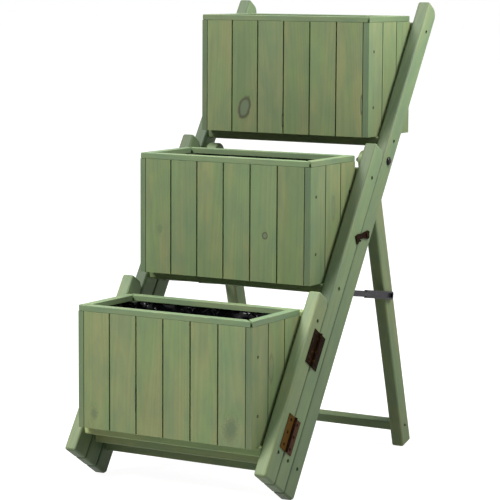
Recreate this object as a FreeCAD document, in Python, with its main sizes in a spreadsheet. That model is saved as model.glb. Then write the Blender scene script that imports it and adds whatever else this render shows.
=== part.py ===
"""Folding three-tier plant stand: planter boxes carried by sloping rails, with a pair of hinged rear legs."""
import FreeCAD, Part
import Sketcher
import os
import re

# Driving sizes in millimetres and degrees.
SIZES = {
    # planter boxes
    "slat_width": 64,
    "wall": 13,
    "seam_gap": 0.6,
    "seam_taper": 1.1,
    "box_height": 252,
    "rim_thick": 12,
    "rim_width": 20,
    "mitre_gap": 5.5,
    "post_side": 20,
    "base_thick": 10,
    "base_gap": 3,
    "liner_gap": 0.6,
    "liner_thick": 1.2,
    "liner_tuck": 1,
    # places of the boxes: height of the lowest one over the floor, then steps back and up from it
    "box_lift": 118,
    "second_back": 228,
    "second_up": 294,
    "third_back": 473,
    "third_up": 579.5,
    # rails
    "lean_angle": 32.8,
    "rail_datum": 252,
    "rail_width": 28,
    "rail_depth": 45,
    "rail_round": 20,
    "rail_gap": 6,
    "rail_set": 190,
    "rail_drop": 358,
    "first_over": 56,
    "second_over": 71,
    "third_over": 63.5,
    # cross bars
    "bar_height": 20,
    "bar_depth": 40,
    "back_bar_thick": 20,
    "back_bar_height": 40,
    # screws through the rails into the bars
    "screw_head": 3.4,
    "screw_head_thick": 2.4,
    "screw_shank": 2,
    "screw_length": 52,
    "screw_well": 4.2,
    "screw_sink": 5,
    # rear legs
    "leg_lean": 15.65,
    "leg_width": 28,
    "leg_depth": 40,
    "leg_gap": 8,
    "leg_bar_rise": 44,
    "leg_bar_depth": 22,
    # pivot bolts
    "pivot_drop": 47.2,
    "bolt_shank": 4,
    "bolt_head": 8.6,
    "bolt_head_thick": 5,
    "bolt_head_round": 4.4,
    "bolt_end": 10,
    "nut_across": 7.5,
    "nut_thick": 6.5,
    "spacer_round": 9,
    "turn_gap": 0.05,
    "face_gap": 0.3,
    # sliding stays
    "stay_under": 24.8,
    "stay_height": 17,
    "stay_wall": 1.5,
    "stay_lip": 2.2,
    "stay_back": 8,
    "stay_reach": 118,
    "stay_corner": 5,
    "slide_thick": 2,
    "slide_reach": 158,
    "slide_front": 8,
    "slide_gap": 0.51,
    "slide_play": 0.5,
    "pin_shank": 2.5,
    "pin_head": 4.6,
    "pin_head_thick": 1.2,
    "pin_collar": 5.5,
    "pin_play": 0.15,
    # butt hinges over the seam between the lower and middle rails
    "hinge_length": 72,
    "hinge_leaf": 25,
    "hinge_thick": 1.6,
    "barrel_round": 3.2,
    "hinge_pin": 1.5,
    "knuckle_gap": 0.3,
    "upper_hinge": 66,
    "lower_hinge": 250,
    # swing hooks over the seam between the middle and upper rails
    "hook_along": 214,
    "hook_thick": 2.5,
    "hook_pivot": 24,
    "hook_pin": 2.2,
    "hook_head": 4.6,
    "hook_head_thick": 1.6,
    "hook_waist": 5.5,
    "hook_wing": 9,
    "hook_wing_set": 6,
    "hook_end": 6.75,
    "hook_tail": 35,
    "hook_brow": 14,
    "hook_nose": 25,
    "hook_tip": 18,
    "hook_beak": 15.6,
    "hook_bill": 5,
    "hook_bill_rise": 2,
    "stud_back": 5.5,
    "stud_down": 9.4,
    "stud_round": 1.9,
    "stud_over": 0.8,
    "stud_clear": 1.2,
    # distance of the origin behind the lowest box's front
    "origin_back": 358.37,
}

FRONT_SLATS = 6
SIDE_SLATS = 3
BASE_BOARDS = 3
KNUCKLES = 5
TIERS = ("lower", "middle", "upper")
# how far a cut runs past the faces that it opens, and how close two points are to be the same
PAST = 1
SAME = 1e-6

doc = FreeCAD.newDocument("PlantStand")
sheet = doc.addObject("Spreadsheet::Sheet", "Sizes")
for row, (alias, value) in enumerate(SIZES.items(), 1):
    sheet.set(f"A{row}", str(value))
    sheet.setAlias(f"A{row}", alias)
doc.recompute()

layout = doc.addObject("App::VarSet", "Layout")
owners = {alias: "Sizes." for alias in SIZES}
pieces = []


def ref(expression):
    """Spell out which object each named value in an expression belongs to."""
    names = r"[a-z_][a-z0-9_]*"
    return re.sub(names, lambda found: owners.get(found.group(), "") + found.group(), str(expression))


def derive(name, expression):
    """Add a value that follows from the driving sizes."""
    layout.addProperty("App::PropertyFloat", name)
    layout.setExpression(name, ref(expression))
    owners[name] = "Layout."


def bind(item, **values):
    """Tie properties of an object to expressions."""
    for path, expression in values.items():
        item.setExpression(path, ref(expression))


def place(item, x, y, z, axis=None, angle=None):
    """Place an object by expressions, turned about an axis by a number or an expression in degrees."""
    turn = FreeCAD.Rotation(FreeCAD.Vector(*axis), 30) if axis else FreeCAD.Rotation()
    item.Placement = FreeCAD.Placement(FreeCAD.Vector(0, 0, 0), turn)
    for letter, expression in zip("xyz", (x, y, z)):
        item.setExpression(f"Placement.Base.{letter}", ref(expression))
    if axis:
        item.setExpression("Placement.Rotation.Angle", ref(angle))
    return item


def block(name, x, y, z, at):
    """A plain board: sizes along X, Y and Z, and the place of its lowest corner."""
    item = doc.addObject("Part::Box", name)
    bind(item, Length=x, Width=y, Height=z)
    return place(item, *at)


def tapered(name, length, thick, tall, inset, at, angle=0):
    """A board whose outer face (local Y = 0) and inner face differ in length by an inset at each end."""
    item = doc.addObject("Part::Wedge", name)
    outer_in, inner_in = inset
    bind(item, Ymin=0, Ymax=thick, Zmin=0, Zmax=tall, Z2min=0, Z2max=tall)
    bind(item, Xmin=outer_in, Xmax=f"{length} - ({outer_in})")
    bind(item, X2min=inner_in, X2max=f"{length} - ({inner_in})")
    return place(item, *at, axis=(0, 0, 1), angle=angle)


def group(label, items):
    """Put separate solids of one kind into one sub-part."""
    item = doc.addObject("Part::Compound", label)
    item.Links = items
    return item


def keep(item, label):
    """Name an object as a sub-part."""
    item.Label = label
    pieces.append(item)
    return item


def mirrored(item, label):
    """The same piece on the left side."""
    twin = doc.addObject("Part::Mirroring", label)
    twin.Source = item
    twin.Base = FreeCAD.Vector(0, 0, 0)
    twin.Normal = FreeCAD.Vector(1, 0, 0)
    return twin


def body(name):
    """An empty body."""
    return doc.addObject("PartDesign::Body", name)


def solid(owner, kind, name, at, axis=None, angle=None, **values):
    """Add or cut a primitive in a body."""
    item = owner.newObject(f"PartDesign::{kind}", name)
    bind(item, **values)
    return place(item, *at, axis=axis, angle=angle)


def crosswise(owner, kind, name, radius, start, length, y, z):
    """Add or cut a cylinder that runs along X in a body."""
    return solid(owner, kind, name, (start, y, z), (0, 1, 0), 90, Radius=radius, Height=length)


def edges_where(feature, test):
    """Names of a feature's straight or round edges whose end points all pass a test."""
    doc.recompute([feature])
    return [
        f"Edge{number}"
        for number, edge in enumerate(feature.Shape.Edges, 1)
        if all(test(vertex.Point) for vertex in edge.Vertexes)
    ]


def rounded(owner, feature, name, radius, test):
    """Round the edges of a body that pass a test."""
    fillet = owner.newObject("PartDesign::Fillet", name)
    fillet.Base = (feature, edges_where(feature, test))
    bind(fillet, Radius=radius)
    return fillet


# Values that follow from the sizes. Along and depth are measured up and across the rails, from the front face
# of the lower rails at the height of their datum.
derive("box_width", f"slat_width * {FRONT_SLATS} + 2 * wall")
derive("box_depth", f"slat_width * {SIDE_SLATS}")
derive("panel_height", "box_height - rim_thick")
derive("datum_z", "box_lift + rail_datum")
derive("lean_sin", "sin(lean_angle * 1 deg)")
derive("lean_cos", "cos(lean_angle * 1 deg)")
derive("leg_sin", "sin(leg_lean * 1 deg)")
derive("leg_cos", "cos(leg_lean * 1 deg)")
derive("rail_inner", "box_width / 2 + rail_gap")
derive("rail_outer", "rail_inner + rail_width")
steps = {"lower": ("0", "0"), "middle": ("second_back", "second_up"), "upper": ("third_back", "third_up")}
for tier, (back, up) in steps.items():
    derive(f"{tier}_front", f"{back} - origin_back")
    derive(f"{tier}_bottom", f"box_lift + {up}")


def along_y(along, depth):
    """Expression of the Y of a point on the rails."""
    return f"(rail_set - origin_back + ({depth}) * lean_cos + ({along}) * lean_sin)"


def along_z(along, depth):
    """Expression of the Z of a point on the rails."""
    return f"(datum_z - ({depth}) * lean_sin + ({along}) * lean_cos)"


# how far the rails go on above the bar behind their box
overs = {"lower": "first_over", "middle": "second_over", "upper": "third_over"}
bars = {tier: [] for tier in TIERS}
for step, tier in enumerate(TIERS):
    middle = f"{step + 0.5} * rail_depth"
    derive(f"{tier}_base_y", along_y("-rail_drop", f"{step} * rail_depth"))
    derive(f"{tier}_base_z", along_z("-rail_drop", f"{step} * rail_depth"))
    # the bar under the box, level, with its middle on the rails' middle
    derive(f"{tier}_seat_z", f"{tier}_bottom - bar_height / 2")
    derive(f"{tier}_seat_along", f"({tier}_seat_z - datum_z + {middle} * lean_sin) / lean_cos")
    derive(f"{tier}_seat_y", along_y(f"{tier}_seat_along", middle))
    bars[tier].append(("seat", f"{tier}_seat_along"))
    # the bar behind the box, against its back, with its middle on the rails' middle
    derive(f"{tier}_back_y", f"{tier}_front + box_depth + back_bar_thick / 2")
    derive(f"{tier}_back_along", f"({tier}_back_y + origin_back - rail_set - {middle} * lean_cos) / lean_sin")
    derive(f"{tier}_back_z", along_z(f"{tier}_back_along", middle))
    derive(f"{tier}_rail_length", f"rail_drop + {tier}_back_along + {overs[tier]}")
    bars[tier].append(("back", f"{tier}_back_along"))
    if step:
        # the bar near the foot, in a row with the one under the lowest box
        derive(f"{tier}_low_y", along_y("lower_seat_along", middle))
        derive(f"{tier}_low_z", along_z("lower_seat_along", middle))
        bars[tier].append(("low", "lower_seat_along"))

# the legs' pivot hangs under the bar of the upper box
derive("pivot_along", "upper_seat_along - pivot_drop")
derive("pivot_y", along_y("pivot_along", "2.5 * rail_depth"))
derive("pivot_z", along_z("pivot_along", "2.5 * rail_depth"))
derive("leg_outer", "rail_inner - leg_gap")
derive("leg_inner", "leg_outer - leg_width")
derive("leg_reach", "(pivot_z - leg_depth / 2 * leg_sin) / leg_cos")
derive("leg_foot_y", "pivot_y + leg_reach * leg_sin - leg_depth / 2 * leg_cos")
derive("leg_bar_set", "(leg_depth - leg_bar_depth) / 2")
# both ends of a stay are as far from the leg's pivot, so the stay turns half as far as the leg;
# its front end stays under the middle box
derive("stay_fall", "(lean_angle - leg_lean) / 2")
derive("stay_arm", "(pivot_z - middle_bottom + stay_under) / lean_cos")
derive("stay_depth", "2 * stay_wall + slide_thick + 2 * slide_gap")
derive("slide_height", "stay_height - 2 * stay_wall - 2 * slide_play")
derive("stay_front_y", "pivot_y - stay_arm * lean_sin")
derive("stay_front_z", "pivot_z - stay_arm * lean_cos")
derive("stay_rear_y", "pivot_y + stay_arm * leg_sin")
derive("stay_rear_z", "pivot_z - stay_arm * leg_cos")
derive("channel_inner", "leg_outer + face_gap")
derive("slide_inner", "channel_inner + stay_wall + slide_gap")
derive("slide_outer", "slide_inner + slide_thick")
derive("hook_inner", "rail_outer + face_gap")
derive("hook_outer", "hook_inner + hook_thick")
derive("hook_y", along_y("hook_along", "2 * rail_depth"))
derive("hook_z", along_z("hook_along", "2 * rail_depth"))

# Planter boxes
for tier in TIERS:
    front, bottom = f"{tier}_front", f"{tier}_bottom"
    left, right, rear = "-box_width / 2", "box_width / 2", f"{front} + box_depth"
    board = ("slat_width", "wall", "panel_height")
    seam = ("seam_gap / 2 + seam_taper", "seam_gap / 2")
    fronts, backs, sides = [], [], []
    for number in range(FRONT_SLATS):
        spot = (f"{left} + wall + slat_width * {number}", front, bottom)
        fronts.append(tapered(f"{tier}_front_{number}", *board, seam, spot))
        spot = (f"{left} + wall + slat_width * {number + 1}", rear, bottom)
        backs.append(tapered(f"{tier}_back_{number}", *board, seam, spot, 180))
    for number in range(SIDE_SLATS):
        spot = (right, f"{front} + slat_width * {number}", bottom)
        sides.append(tapered(f"{tier}_right_{number}", *board, seam, spot, 90))
        spot = (left, f"{front} + slat_width * {number + 1}", bottom)
        sides.append(tapered(f"{tier}_left_{number}", *board, seam, spot, 270))
    keep(group(f"{tier}_front_boards", fronts), f"{tier}_front_boards")
    keep(group(f"{tier}_back_boards", backs), f"{tier}_back_boards")
    keep(group(f"{tier}_side_boards", sides), f"{tier}_side_boards")

    rim_z = f"{bottom} + panel_height"
    mitre = ("mitre_gap / 2", "mitre_gap / 2 + rim_width")
    rims = [
        tapered(f"{tier}_rim_f", "box_width", "rim_width", "rim_thick", mitre, (left, front, rim_z)),
        tapered(f"{tier}_rim_b", "box_width", "rim_width", "rim_thick", mitre, (right, rear, rim_z), 180),
        tapered(f"{tier}_rim_r", "box_depth", "rim_width", "rim_thick", mitre, (right, front, rim_z), 90),
        tapered(f"{tier}_rim_l", "box_depth", "rim_width", "rim_thick", mitre, (left, rear, rim_z), 270),
    ]
    keep(group(f"{tier}_rim_boards", rims), f"{tier}_rim_boards")

    posts = []
    for side, x in (("left", f"{left} + wall"), ("right", f"{right} - wall - post_side")):
        for end, y in (("front", f"{front} + wall"), ("rear", f"{rear} - wall - post_side")):
            at = (x, y, f"{bottom} + base_thick")
            tall = "panel_height - base_thick"
            posts.append(block(f"{tier}_{side}_{end}_post", "post_side", "post_side", tall, at))
    keep(group(f"{tier}_corner_posts", posts), f"{tier}_corner_posts")

    floor_boards = []
    board_width = f"((box_depth - 2 * wall - {BASE_BOARDS - 1} * base_gap) / {BASE_BOARDS})"
    for number in range(BASE_BOARDS):
        at = (f"{left} + wall", f"{front} + wall + {number} * ({board_width} + base_gap)", bottom)
        size = ("box_width - 2 * wall", board_width, "base_thick")
        floor_boards.append(block(f"{tier}_base_{number}", *size, at))
    keep(group(f"{tier}_base_boards", floor_boards), f"{tier}_base_boards")

    # the liner is a thin tray that steps round the corner posts
    tray = body(f"{tier}_liner")
    for kind, word, skin in (("AdditiveBox", "skin", "0"), ("SubtractiveBox", "room", "liner_thick")):
        base = f"{bottom} + base_thick + liner_gap + {skin}"
        tall = f"panel_height - base_thick - liner_gap - liner_tuck - {skin}"
        for way, x_in, y_in in (("long", "0", "post_side"), ("short", "post_side", "0")):
            x_edge = f"(wall + liner_gap + {x_in} + {skin})"
            y_edge = f"(wall + liner_gap + {y_in} + {skin})"
            solid(
                tray,
                kind,
                f"{tier}_{word}_{way}",
                (f"{left} + {x_edge}", f"{front} + {y_edge}", base),
                Length=f"box_width - 2 * {x_edge}",
                Width=f"box_depth - 2 * {y_edge}",
                Height=tall,
            )
    keep(tray, f"{tier}_liner")

# Rails: stock with a rounded rear-top corner, sunk wells for the screws and, on the upper ones, a level foot
for step, tier in enumerate(TIERS):
    rail = body(f"{tier}_right_rail")
    length = f"{tier}_rail_length"
    stock_size = {"Length": "rail_width", "Width": "rail_depth", "Height": length}
    stock = solid(rail, "AdditiveBox", f"{tier}_stock", ("0", "0", "0"), **stock_size)
    doc.recompute([stock])
    top, deep = stock.Height.Value, stock.Width.Value
    rounded(
        rail,
        stock,
        f"{tier}_crown",
        "rail_round",
        lambda point: abs(point.z - top) < SAME and abs(point.y - deep) < SAME,
    )
    for kind, along in bars[tier]:
        well = (f"{tier}_{kind}_well", "screw_well", "rail_width - screw_sink", f"screw_sink + {PAST}")
        crosswise(rail, "SubtractiveCylinder", *well, "rail_depth / 2", f"rail_drop + {along}")
    if tier == "upper":
        crosswise(
            rail,
            "SubtractiveCylinder",
            "bolt_bore",
            "bolt_shank",
            f"-{PAST}",
            f"rail_width + 2 * {PAST}",
            "rail_depth / 2",
            "rail_drop + pivot_along",
        )
        # what is under the floor is cut off level
        solid(
            rail,
            "SubtractiveBox",
            "level_foot",
            (
                f"-{PAST}",
                "(upper_base_z + rail_depth) * lean_sin - rail_depth * lean_cos",
                "-(upper_base_z + rail_depth) * lean_cos - rail_depth * lean_sin",
            ),
            (1, 0, 0),
            "lean_angle",
            Length=f"rail_width + 2 * {PAST}",
            Width="4 * rail_depth",
            Height="rail_depth",
        )
    place(rail, "rail_inner", f"{tier}_base_y", f"{tier}_base_z", (-1, 0, 0), "lean_angle")
    keep(rail, f"{tier}_right_rail")
    keep(mirrored(rail, f"{tier}_left_rail"), f"{tier}_left_rail")

# Cross bars between the rails
for tier in TIERS:
    for kind, along in bars[tier]:
        deep, tall = ("back_bar_thick", "back_bar_height") if kind == "back" else ("bar_depth", "bar_height")
        at = ("-rail_inner", f"{tier}_{kind}_y - {deep} / 2", f"{tier}_{kind}_z - {tall} / 2")
        keep(block(f"{tier}_{kind}_bar", "2 * rail_inner", deep, tall, at), f"{tier}_{kind}_bar")

# Screws: one turned shape, placed at every end of every bar
screw = body("screw")
crosswise(screw, "AdditiveCylinder", "screw_rod", "screw_shank", "-screw_length", "screw_length", "0", "0")
screw_cap = ("screw_head", "-screw_head_thick", "screw_head_thick")
crosswise(screw, "AdditiveCylinder", "screw_cap", *screw_cap, "0", "0")


def screw_at(name, x, y, z):
    """A copy of the screw with the top of its head at a point, driven towards the middle."""
    copy = doc.addObject("App::Link", name)
    copy.LinkedObject = screw
    return place(copy, x, y, z)


right_screws = []
for step, tier in enumerate(TIERS):
    for kind, along in bars[tier]:
        at = ("rail_outer - screw_sink + screw_head_thick", f"{tier}_{kind}_y", f"{tier}_{kind}_z")
        right_screws.append(screw_at(f"{tier}_{kind}_screw", *at))
right_group = group("right_rail_screws", right_screws)
keep(group("rail_screws", [right_group, mirrored(right_group, "left_rail_screws")]), "rail_screws")

# Rear legs, their bar and its screws
leg = body("right_rear_leg")
leg_stock = {"Length": "leg_width", "Width": "leg_depth", "Height": "leg_reach"}
solid(leg, "AdditiveBox", "leg_stock", ("0", "0", "0"), **leg_stock)
leg_top = ("leg_depth / 2", "leg_reach")
crosswise(leg, "AdditiveCylinder", "leg_crown", "leg_depth / 2", "0", "leg_width", *leg_top)
leg_bore = ("bolt_shank + turn_gap", f"-{PAST}", f"leg_width + 2 * {PAST}")
crosswise(leg, "SubtractiveCylinder", "leg_bore", *leg_bore, *leg_top)
leg_well = ("screw_well", "leg_width - screw_sink", f"screw_sink + {PAST}", "leg_depth / 2", "leg_bar_rise")
crosswise(leg, "SubtractiveCylinder", "leg_well", *leg_well)
place(leg, "leg_inner", "leg_foot_y", "0", (1, 0, 0), "leg_lean")
keep(leg, "right_rear_leg")
keep(mirrored(leg, "left_rear_leg"), "left_rear_leg")

leg_bar = doc.addObject("Part::Box", "rear_leg_bar")
bind(leg_bar, Length="2 * leg_inner", Width="leg_bar_depth", Height="bar_height")
leg_bar_base = "(leg_bar_rise - bar_height / 2)"
leg_bar_at = (
    "-leg_inner",
    f"leg_foot_y + leg_bar_set * leg_cos - {leg_bar_base} * leg_sin",
    f"leg_bar_set * leg_sin + {leg_bar_base} * leg_cos",
)
place(leg_bar, *leg_bar_at, (1, 0, 0), "leg_lean")
keep(leg_bar, "rear_leg_bar")

leg_screw = screw_at(
    "right_leg_screw",
    "leg_outer - screw_sink + screw_head_thick",
    "leg_foot_y + leg_depth / 2 * leg_cos - leg_bar_rise * leg_sin",
    "leg_depth / 2 * leg_sin + leg_bar_rise * leg_cos",
)
right_leg_screws = group("right_leg_screws", [leg_screw])
keep(group("leg_screws", [right_leg_screws, mirrored(right_leg_screws, "left_leg_screws")]), "leg_screws")

# Pivot bolts: domed head outside the upper rail, spacer in the gap, nut inside the leg
bolt = body("right_pivot_bolt")
bolt_from = "leg_inner - face_gap - bolt_end"
bolt_length = f"rail_outer + bolt_head_thick / 2 - ({bolt_from})"
crosswise(bolt, "AdditiveCylinder", "bolt_rod", "bolt_shank", bolt_from, bolt_length, "0", "0")
bolt_cap = ("bolt_head", "rail_outer", "bolt_head_thick")
dome = crosswise(bolt, "AdditiveCylinder", "bolt_dome", *bolt_cap, "0", "0")
doc.recompute([dome])
crest = dome.Shape.BoundBox.XMax
rounded(bolt, dome, "bolt_dome_round", "bolt_head_round", lambda point: abs(point.x - crest) < SAME)
place(bolt, "0", "pivot_y", "pivot_z")
keep(group("pivot_bolts", [bolt, mirrored(bolt, "left_pivot_bolt")]), "pivot_bolts")

spacer = body("right_pivot_spacer")
spacer_skin = ("spacer_round", "leg_outer + face_gap", "leg_gap - face_gap")
crosswise(spacer, "AdditiveCylinder", "spacer_skin", *spacer_skin, "0", "0")
spacer_bore = ("bolt_shank", f"leg_outer - {PAST}", f"leg_gap + 2 * {PAST}")
crosswise(spacer, "SubtractiveCylinder", "spacer_bore", *spacer_bore, "0", "0")
place(spacer, "0", "pivot_y", "pivot_z")
keep(group("pivot_spacers", [spacer, mirrored(spacer, "left_pivot_spacer")]), "pivot_spacers")

nut = body("right_pivot_nut")
nut_from = "leg_inner - face_gap - nut_thick"
solid(
    nut,
    "AdditivePrism",
    "nut_hex",
    (nut_from, "0", "0"),
    (0, 1, 0),
    90,
    Polygon=6,
    Circumradius="nut_across",
    Height="nut_thick",
)
nut_bore = ("bolt_shank", f"{nut_from} - {PAST}", f"nut_thick + 2 * {PAST}")
crosswise(nut, "SubtractiveCylinder", "nut_bore", *nut_bore, "0", "0")
place(nut, "0", "pivot_y", "pivot_z")
keep(group("pivot_nuts", [nut, mirrored(nut, "left_pivot_nut")]), "pivot_nuts")

# Sliding stays: a lipped channel that turns on the leg, and a flat slide that turns on the rail.
# Local Y runs from the rail's pin to the leg's pin.
channel = body("right_stay_channel")
channel_stock = solid(
    channel,
    "AdditiveBox",
    "channel_stock",
    ("channel_inner", "-stay_reach", "-stay_height / 2"),
    Length="stay_depth",
    Width="stay_reach + stay_back",
    Height="stay_height",
)
doc.recompute([channel_stock])
channel_end = channel_stock.Shape.BoundBox.YMax
rounded(channel, channel_stock, "channel_end", "stay_corner", lambda point: abs(point.y - channel_end) < SAME)
channel.Tip.Base = (
    channel_stock,
    [
        name
        for name in channel.Tip.Base[1]
        if abs(channel_stock.Shape.getElement(name).tangentAt(0).x) > 0.9
    ],
)
solid(
    channel,
    "SubtractiveBox",
    "channel_room",
    ("channel_inner + stay_wall", f"-stay_reach - {PAST}", "-(stay_height / 2 - stay_wall)"),
    Length="stay_depth - 2 * stay_wall",
    Width=f"stay_reach + stay_back - stay_wall + {PAST}",
    Height="stay_height - 2 * stay_wall",
)
solid(
    channel,
    "SubtractiveBox",
    "channel_mouth",
    ("channel_inner + stay_wall", f"-stay_reach - {PAST}", "-(stay_height / 2 - stay_wall - stay_lip)"),
    Length="stay_depth",
    Width=f"stay_reach + stay_back - stay_wall - stay_lip + {PAST}",
    Height="stay_height - 2 * stay_wall - 2 * stay_lip",
)
channel_bore = ("pin_shank + turn_gap", f"channel_inner - {PAST}", f"stay_wall + 2 * {PAST}")
crosswise(channel, "SubtractiveCylinder", "channel_bore", *channel_bore, "0", "0")
place(channel, "0", "stay_rear_y", "stay_rear_z", (-1, 0, 0), "stay_fall")
keep(channel, "right_stay_channel")
keep(mirrored(channel, "left_stay_channel"), "left_stay_channel")

slide = body("right_stay_slide")
slide_stock = solid(
    slide,
    "AdditiveBox",
    "slide_stock",
    ("slide_inner", "-slide_front", "-slide_height / 2"),
    Length="slide_thick",
    Width="slide_reach + slide_front",
    Height="slide_height",
)
slide_bore = ("pin_shank + turn_gap", f"slide_inner - {PAST}", f"slide_thick + 2 * {PAST}")
crosswise(slide, "SubtractiveCylinder", "slide_bore", *slide_bore, "0", "0")
place(slide, "0", "stay_front_y", "stay_front_z", (-1, 0, 0), "stay_fall")
keep(slide, "right_stay_slide")
keep(mirrored(slide, "left_stay_slide"), "left_stay_slide")

# Pins of the stays: the front one stands on the rail's inner face, the rear one on the leg's outer face
front_pin = body("right_front_pin")
front_from = "slide_inner - pin_play - pin_head_thick"
collar_from = "slide_outer + pin_play"
front_turns = {
    "front_rod": ("pin_shank", front_from, f"rail_inner - ({front_from})"),
    "front_head": ("pin_head", front_from, "pin_head_thick"),
    "front_collar": ("pin_collar", collar_from, f"rail_inner - ({collar_from})"),
}
for name, size in front_turns.items():
    crosswise(front_pin, "AdditiveCylinder", name, *size, "0", "0")
place(front_pin, "0", "stay_front_y", "stay_front_z")
keep(group("stay_front_pins", [front_pin, mirrored(front_pin, "left_front_pin")]), "stay_front_pins")

rear_pin = body("right_rear_pin")
rear_head = "channel_inner + stay_wall + pin_play"
rear_turns = {
    "rear_rod": ("pin_shank", "leg_outer", f"{rear_head} + pin_head_thick - leg_outer"),
    "rear_head": ("pin_head", rear_head, "pin_head_thick"),
}
for name, size in rear_turns.items():
    crosswise(rear_pin, "AdditiveCylinder", name, *size, "0", "0")
place(rear_pin, "0", "stay_rear_y", "stay_rear_z")
keep(group("stay_rear_pins", [rear_pin, mirrored(rear_pin, "left_rear_pin")]), "stay_rear_pins")

# Butt hinges: local Y runs across the rails from the seam, local Z up along them
knuckle = f"(hinge_length / {KNUCKLES})"
barrel_x = "rail_outer + barrel_round"
leaf_parts = {"front": (range(0, KNUCKLES, 2), "-hinge_leaf"), "rear": (range(1, KNUCKLES, 2), "0")}
seam_at = {
    word: (along_y(f"-{drop}", "rail_depth"), along_z(f"-{drop}", "rail_depth"))
    for word, drop in (("upper", "upper_hinge"), ("lower", "lower_hinge"))
}
for side, (numbers, start) in leaf_parts.items():
    leaves = []
    for word in seam_at:
        leaf = body(f"{word}_{side}_leaf")
        solid(
            leaf,
            "AdditiveBox",
            f"{word}_{side}_plate",
            ("rail_outer", start, "-hinge_length / 2"),
            Length="hinge_thick",
            Width="hinge_leaf",
            Height="hinge_length",
        )
        for number in range(KNUCKLES):
            own = number in numbers
            foot = f"-hinge_length / 2 + {knuckle} * {number}"
            trim = "knuckle_gap / 2" if own else "-knuckle_gap / 2"
            solid(
                leaf,
                "AdditiveCylinder" if own else "SubtractiveCylinder",
                f"{word}_{side}_knuckle_{number}",
                (barrel_x, "0", f"{foot} + {trim}"),
                Radius="barrel_round" if own else "barrel_round + knuckle_gap",
                Height=f"{knuckle} - 2 * ({trim})",
            )
        solid(
            leaf,
            "SubtractiveCylinder",
            f"{word}_{side}_eye",
            (barrel_x, "0", f"-hinge_length / 2 - {PAST}"),
            Radius="hinge_pin",
            Height=f"hinge_length + 2 * {PAST}",
        )
        place(leaf, "0", *seam_at[word], (-1, 0, 0), "lean_angle")
        leaves.append(leaf)
    pair = group(f"right_{side}_leaves", leaves)
    keep(group(f"hinge_{side}_leaves", [pair, mirrored(pair, f"left_{side}_leaves")]), f"hinge_{side}_leaves")

hinge_pins = []
for word in seam_at:
    pin = body(f"{word}_hinge_pin")
    solid(
        pin,
        "AdditiveCylinder",
        f"{word}_hinge_rod",
        (barrel_x, "0", "-hinge_length / 2"),
        Radius="hinge_pin",
        Height="hinge_length",
    )
    place(pin, "0", *seam_at[word], (-1, 0, 0), "lean_angle")
    hinge_pins.append(pin)
pin_pair = group("right_hinge_pins", hinge_pins)
keep(group("hinge_pins", [pin_pair, mirrored(pin_pair, "left_hinge_pins")]), "hinge_pins")

# Swing hooks: a bow-tie plate that turns on a pin in the upper rail, with its beak before a stud in the
# middle rail. Local Y and Z are measured from the waist, over the seam.
hook = body("right_hook")
outline = hook.newObject("Sketcher::SketchObject", "hook_outline")
planes = {plane.Role: plane for plane in hook.Origin.OriginFeatures}
outline.AttachmentSupport = [(planes["YZ_Plane"], "")]
outline.MapMode = "FlatFace"
corners = [
    ("hook_tail", "hook_end"),
    ("hook_tail - hook_wing_set", "hook_wing"),
    ("0", "hook_waist"),
    ("-hook_brow", "hook_waist"),
    ("-hook_nose", "hook_waist / 2"),
    ("-hook_tip", "-hook_beak"),
    ("-stud_back - stud_round - hook_bill", "-hook_beak + hook_bill_rise"),
    ("-stud_back - stud_round - stud_clear", "-stud_down + stud_round"),
    ("-stud_back", "-hook_waist"),
    ("hook_pivot / 2", "-hook_waist"),
    ("hook_tail - hook_wing_set", "-hook_wing"),
    ("hook_tail", "-hook_end"),
]
for number, (y, z) in enumerate(corners):
    derive(f"corner_{number}_y", y)
    derive(f"corner_{number}_z", z)
doc.recompute([layout])
points = [
    FreeCAD.Vector(getattr(layout, f"corner_{number}_y"), getattr(layout, f"corner_{number}_z"), 0)
    for number in range(len(corners))
]
for number, point in enumerate(points):
    outline.addGeometry(Part.LineSegment(point, points[(number + 1) % len(points)]), False)
for number in range(len(points)):
    outline.addConstraint(Sketcher.Constraint("Coincident", number, 2, (number + 1) % len(points), 1))
for number in range(len(corners)):
    across = outline.addConstraint(Sketcher.Constraint("DistanceX", -1, 1, number, 1, points[number].x))
    outline.setExpression(f"Constraints[{across}]", ref(f"corner_{number}_y"))
    up = outline.addConstraint(Sketcher.Constraint("DistanceY", -1, 1, number, 1, points[number].y))
    outline.setExpression(f"Constraints[{up}]", ref(f"corner_{number}_z"))
plate = hook.newObject("PartDesign::Pad", "hook_plate")
plate.Profile = outline
bind(plate, Length="hook_thick")
hook_bore = ("hook_pin + turn_gap", f"-{PAST}", f"hook_thick + 2 * {PAST}")
crosswise(hook, "SubtractiveCylinder", "hook_bore", *hook_bore, "hook_pivot", "0")
place(hook, "hook_inner", "hook_y", "hook_z")
keep(hook, "right_hook")
keep(mirrored(hook, "left_hook"), "left_hook")

hook_pin = body("right_hook_pin")
hook_turns = {
    "hook_rod": ("hook_pin", "rail_outer", "hook_outer + face_gap + hook_head_thick / 2 - rail_outer"),
    "hook_cap": ("hook_head", "hook_outer + face_gap", "hook_head_thick"),
}
for name, size in hook_turns.items():
    crosswise(hook_pin, "AdditiveCylinder", name, *size, "0", "0")
place(hook_pin, "0", "hook_y + hook_pivot", "hook_z")
keep(group("hook_pins", [hook_pin, mirrored(hook_pin, "left_hook_pin")]), "hook_pins")

stud = body("right_stud")
stud_rod = ("stud_round", "rail_outer", "hook_outer + stud_over - rail_outer")
crosswise(stud, "AdditiveCylinder", "stud_rod", *stud_rod, "0", "0")
place(stud, "0", "hook_y - stud_back", "hook_z - stud_down")
keep(group("hook_studs", [stud, mirrored(stud, "left_stud")]), "hook_studs")

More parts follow.
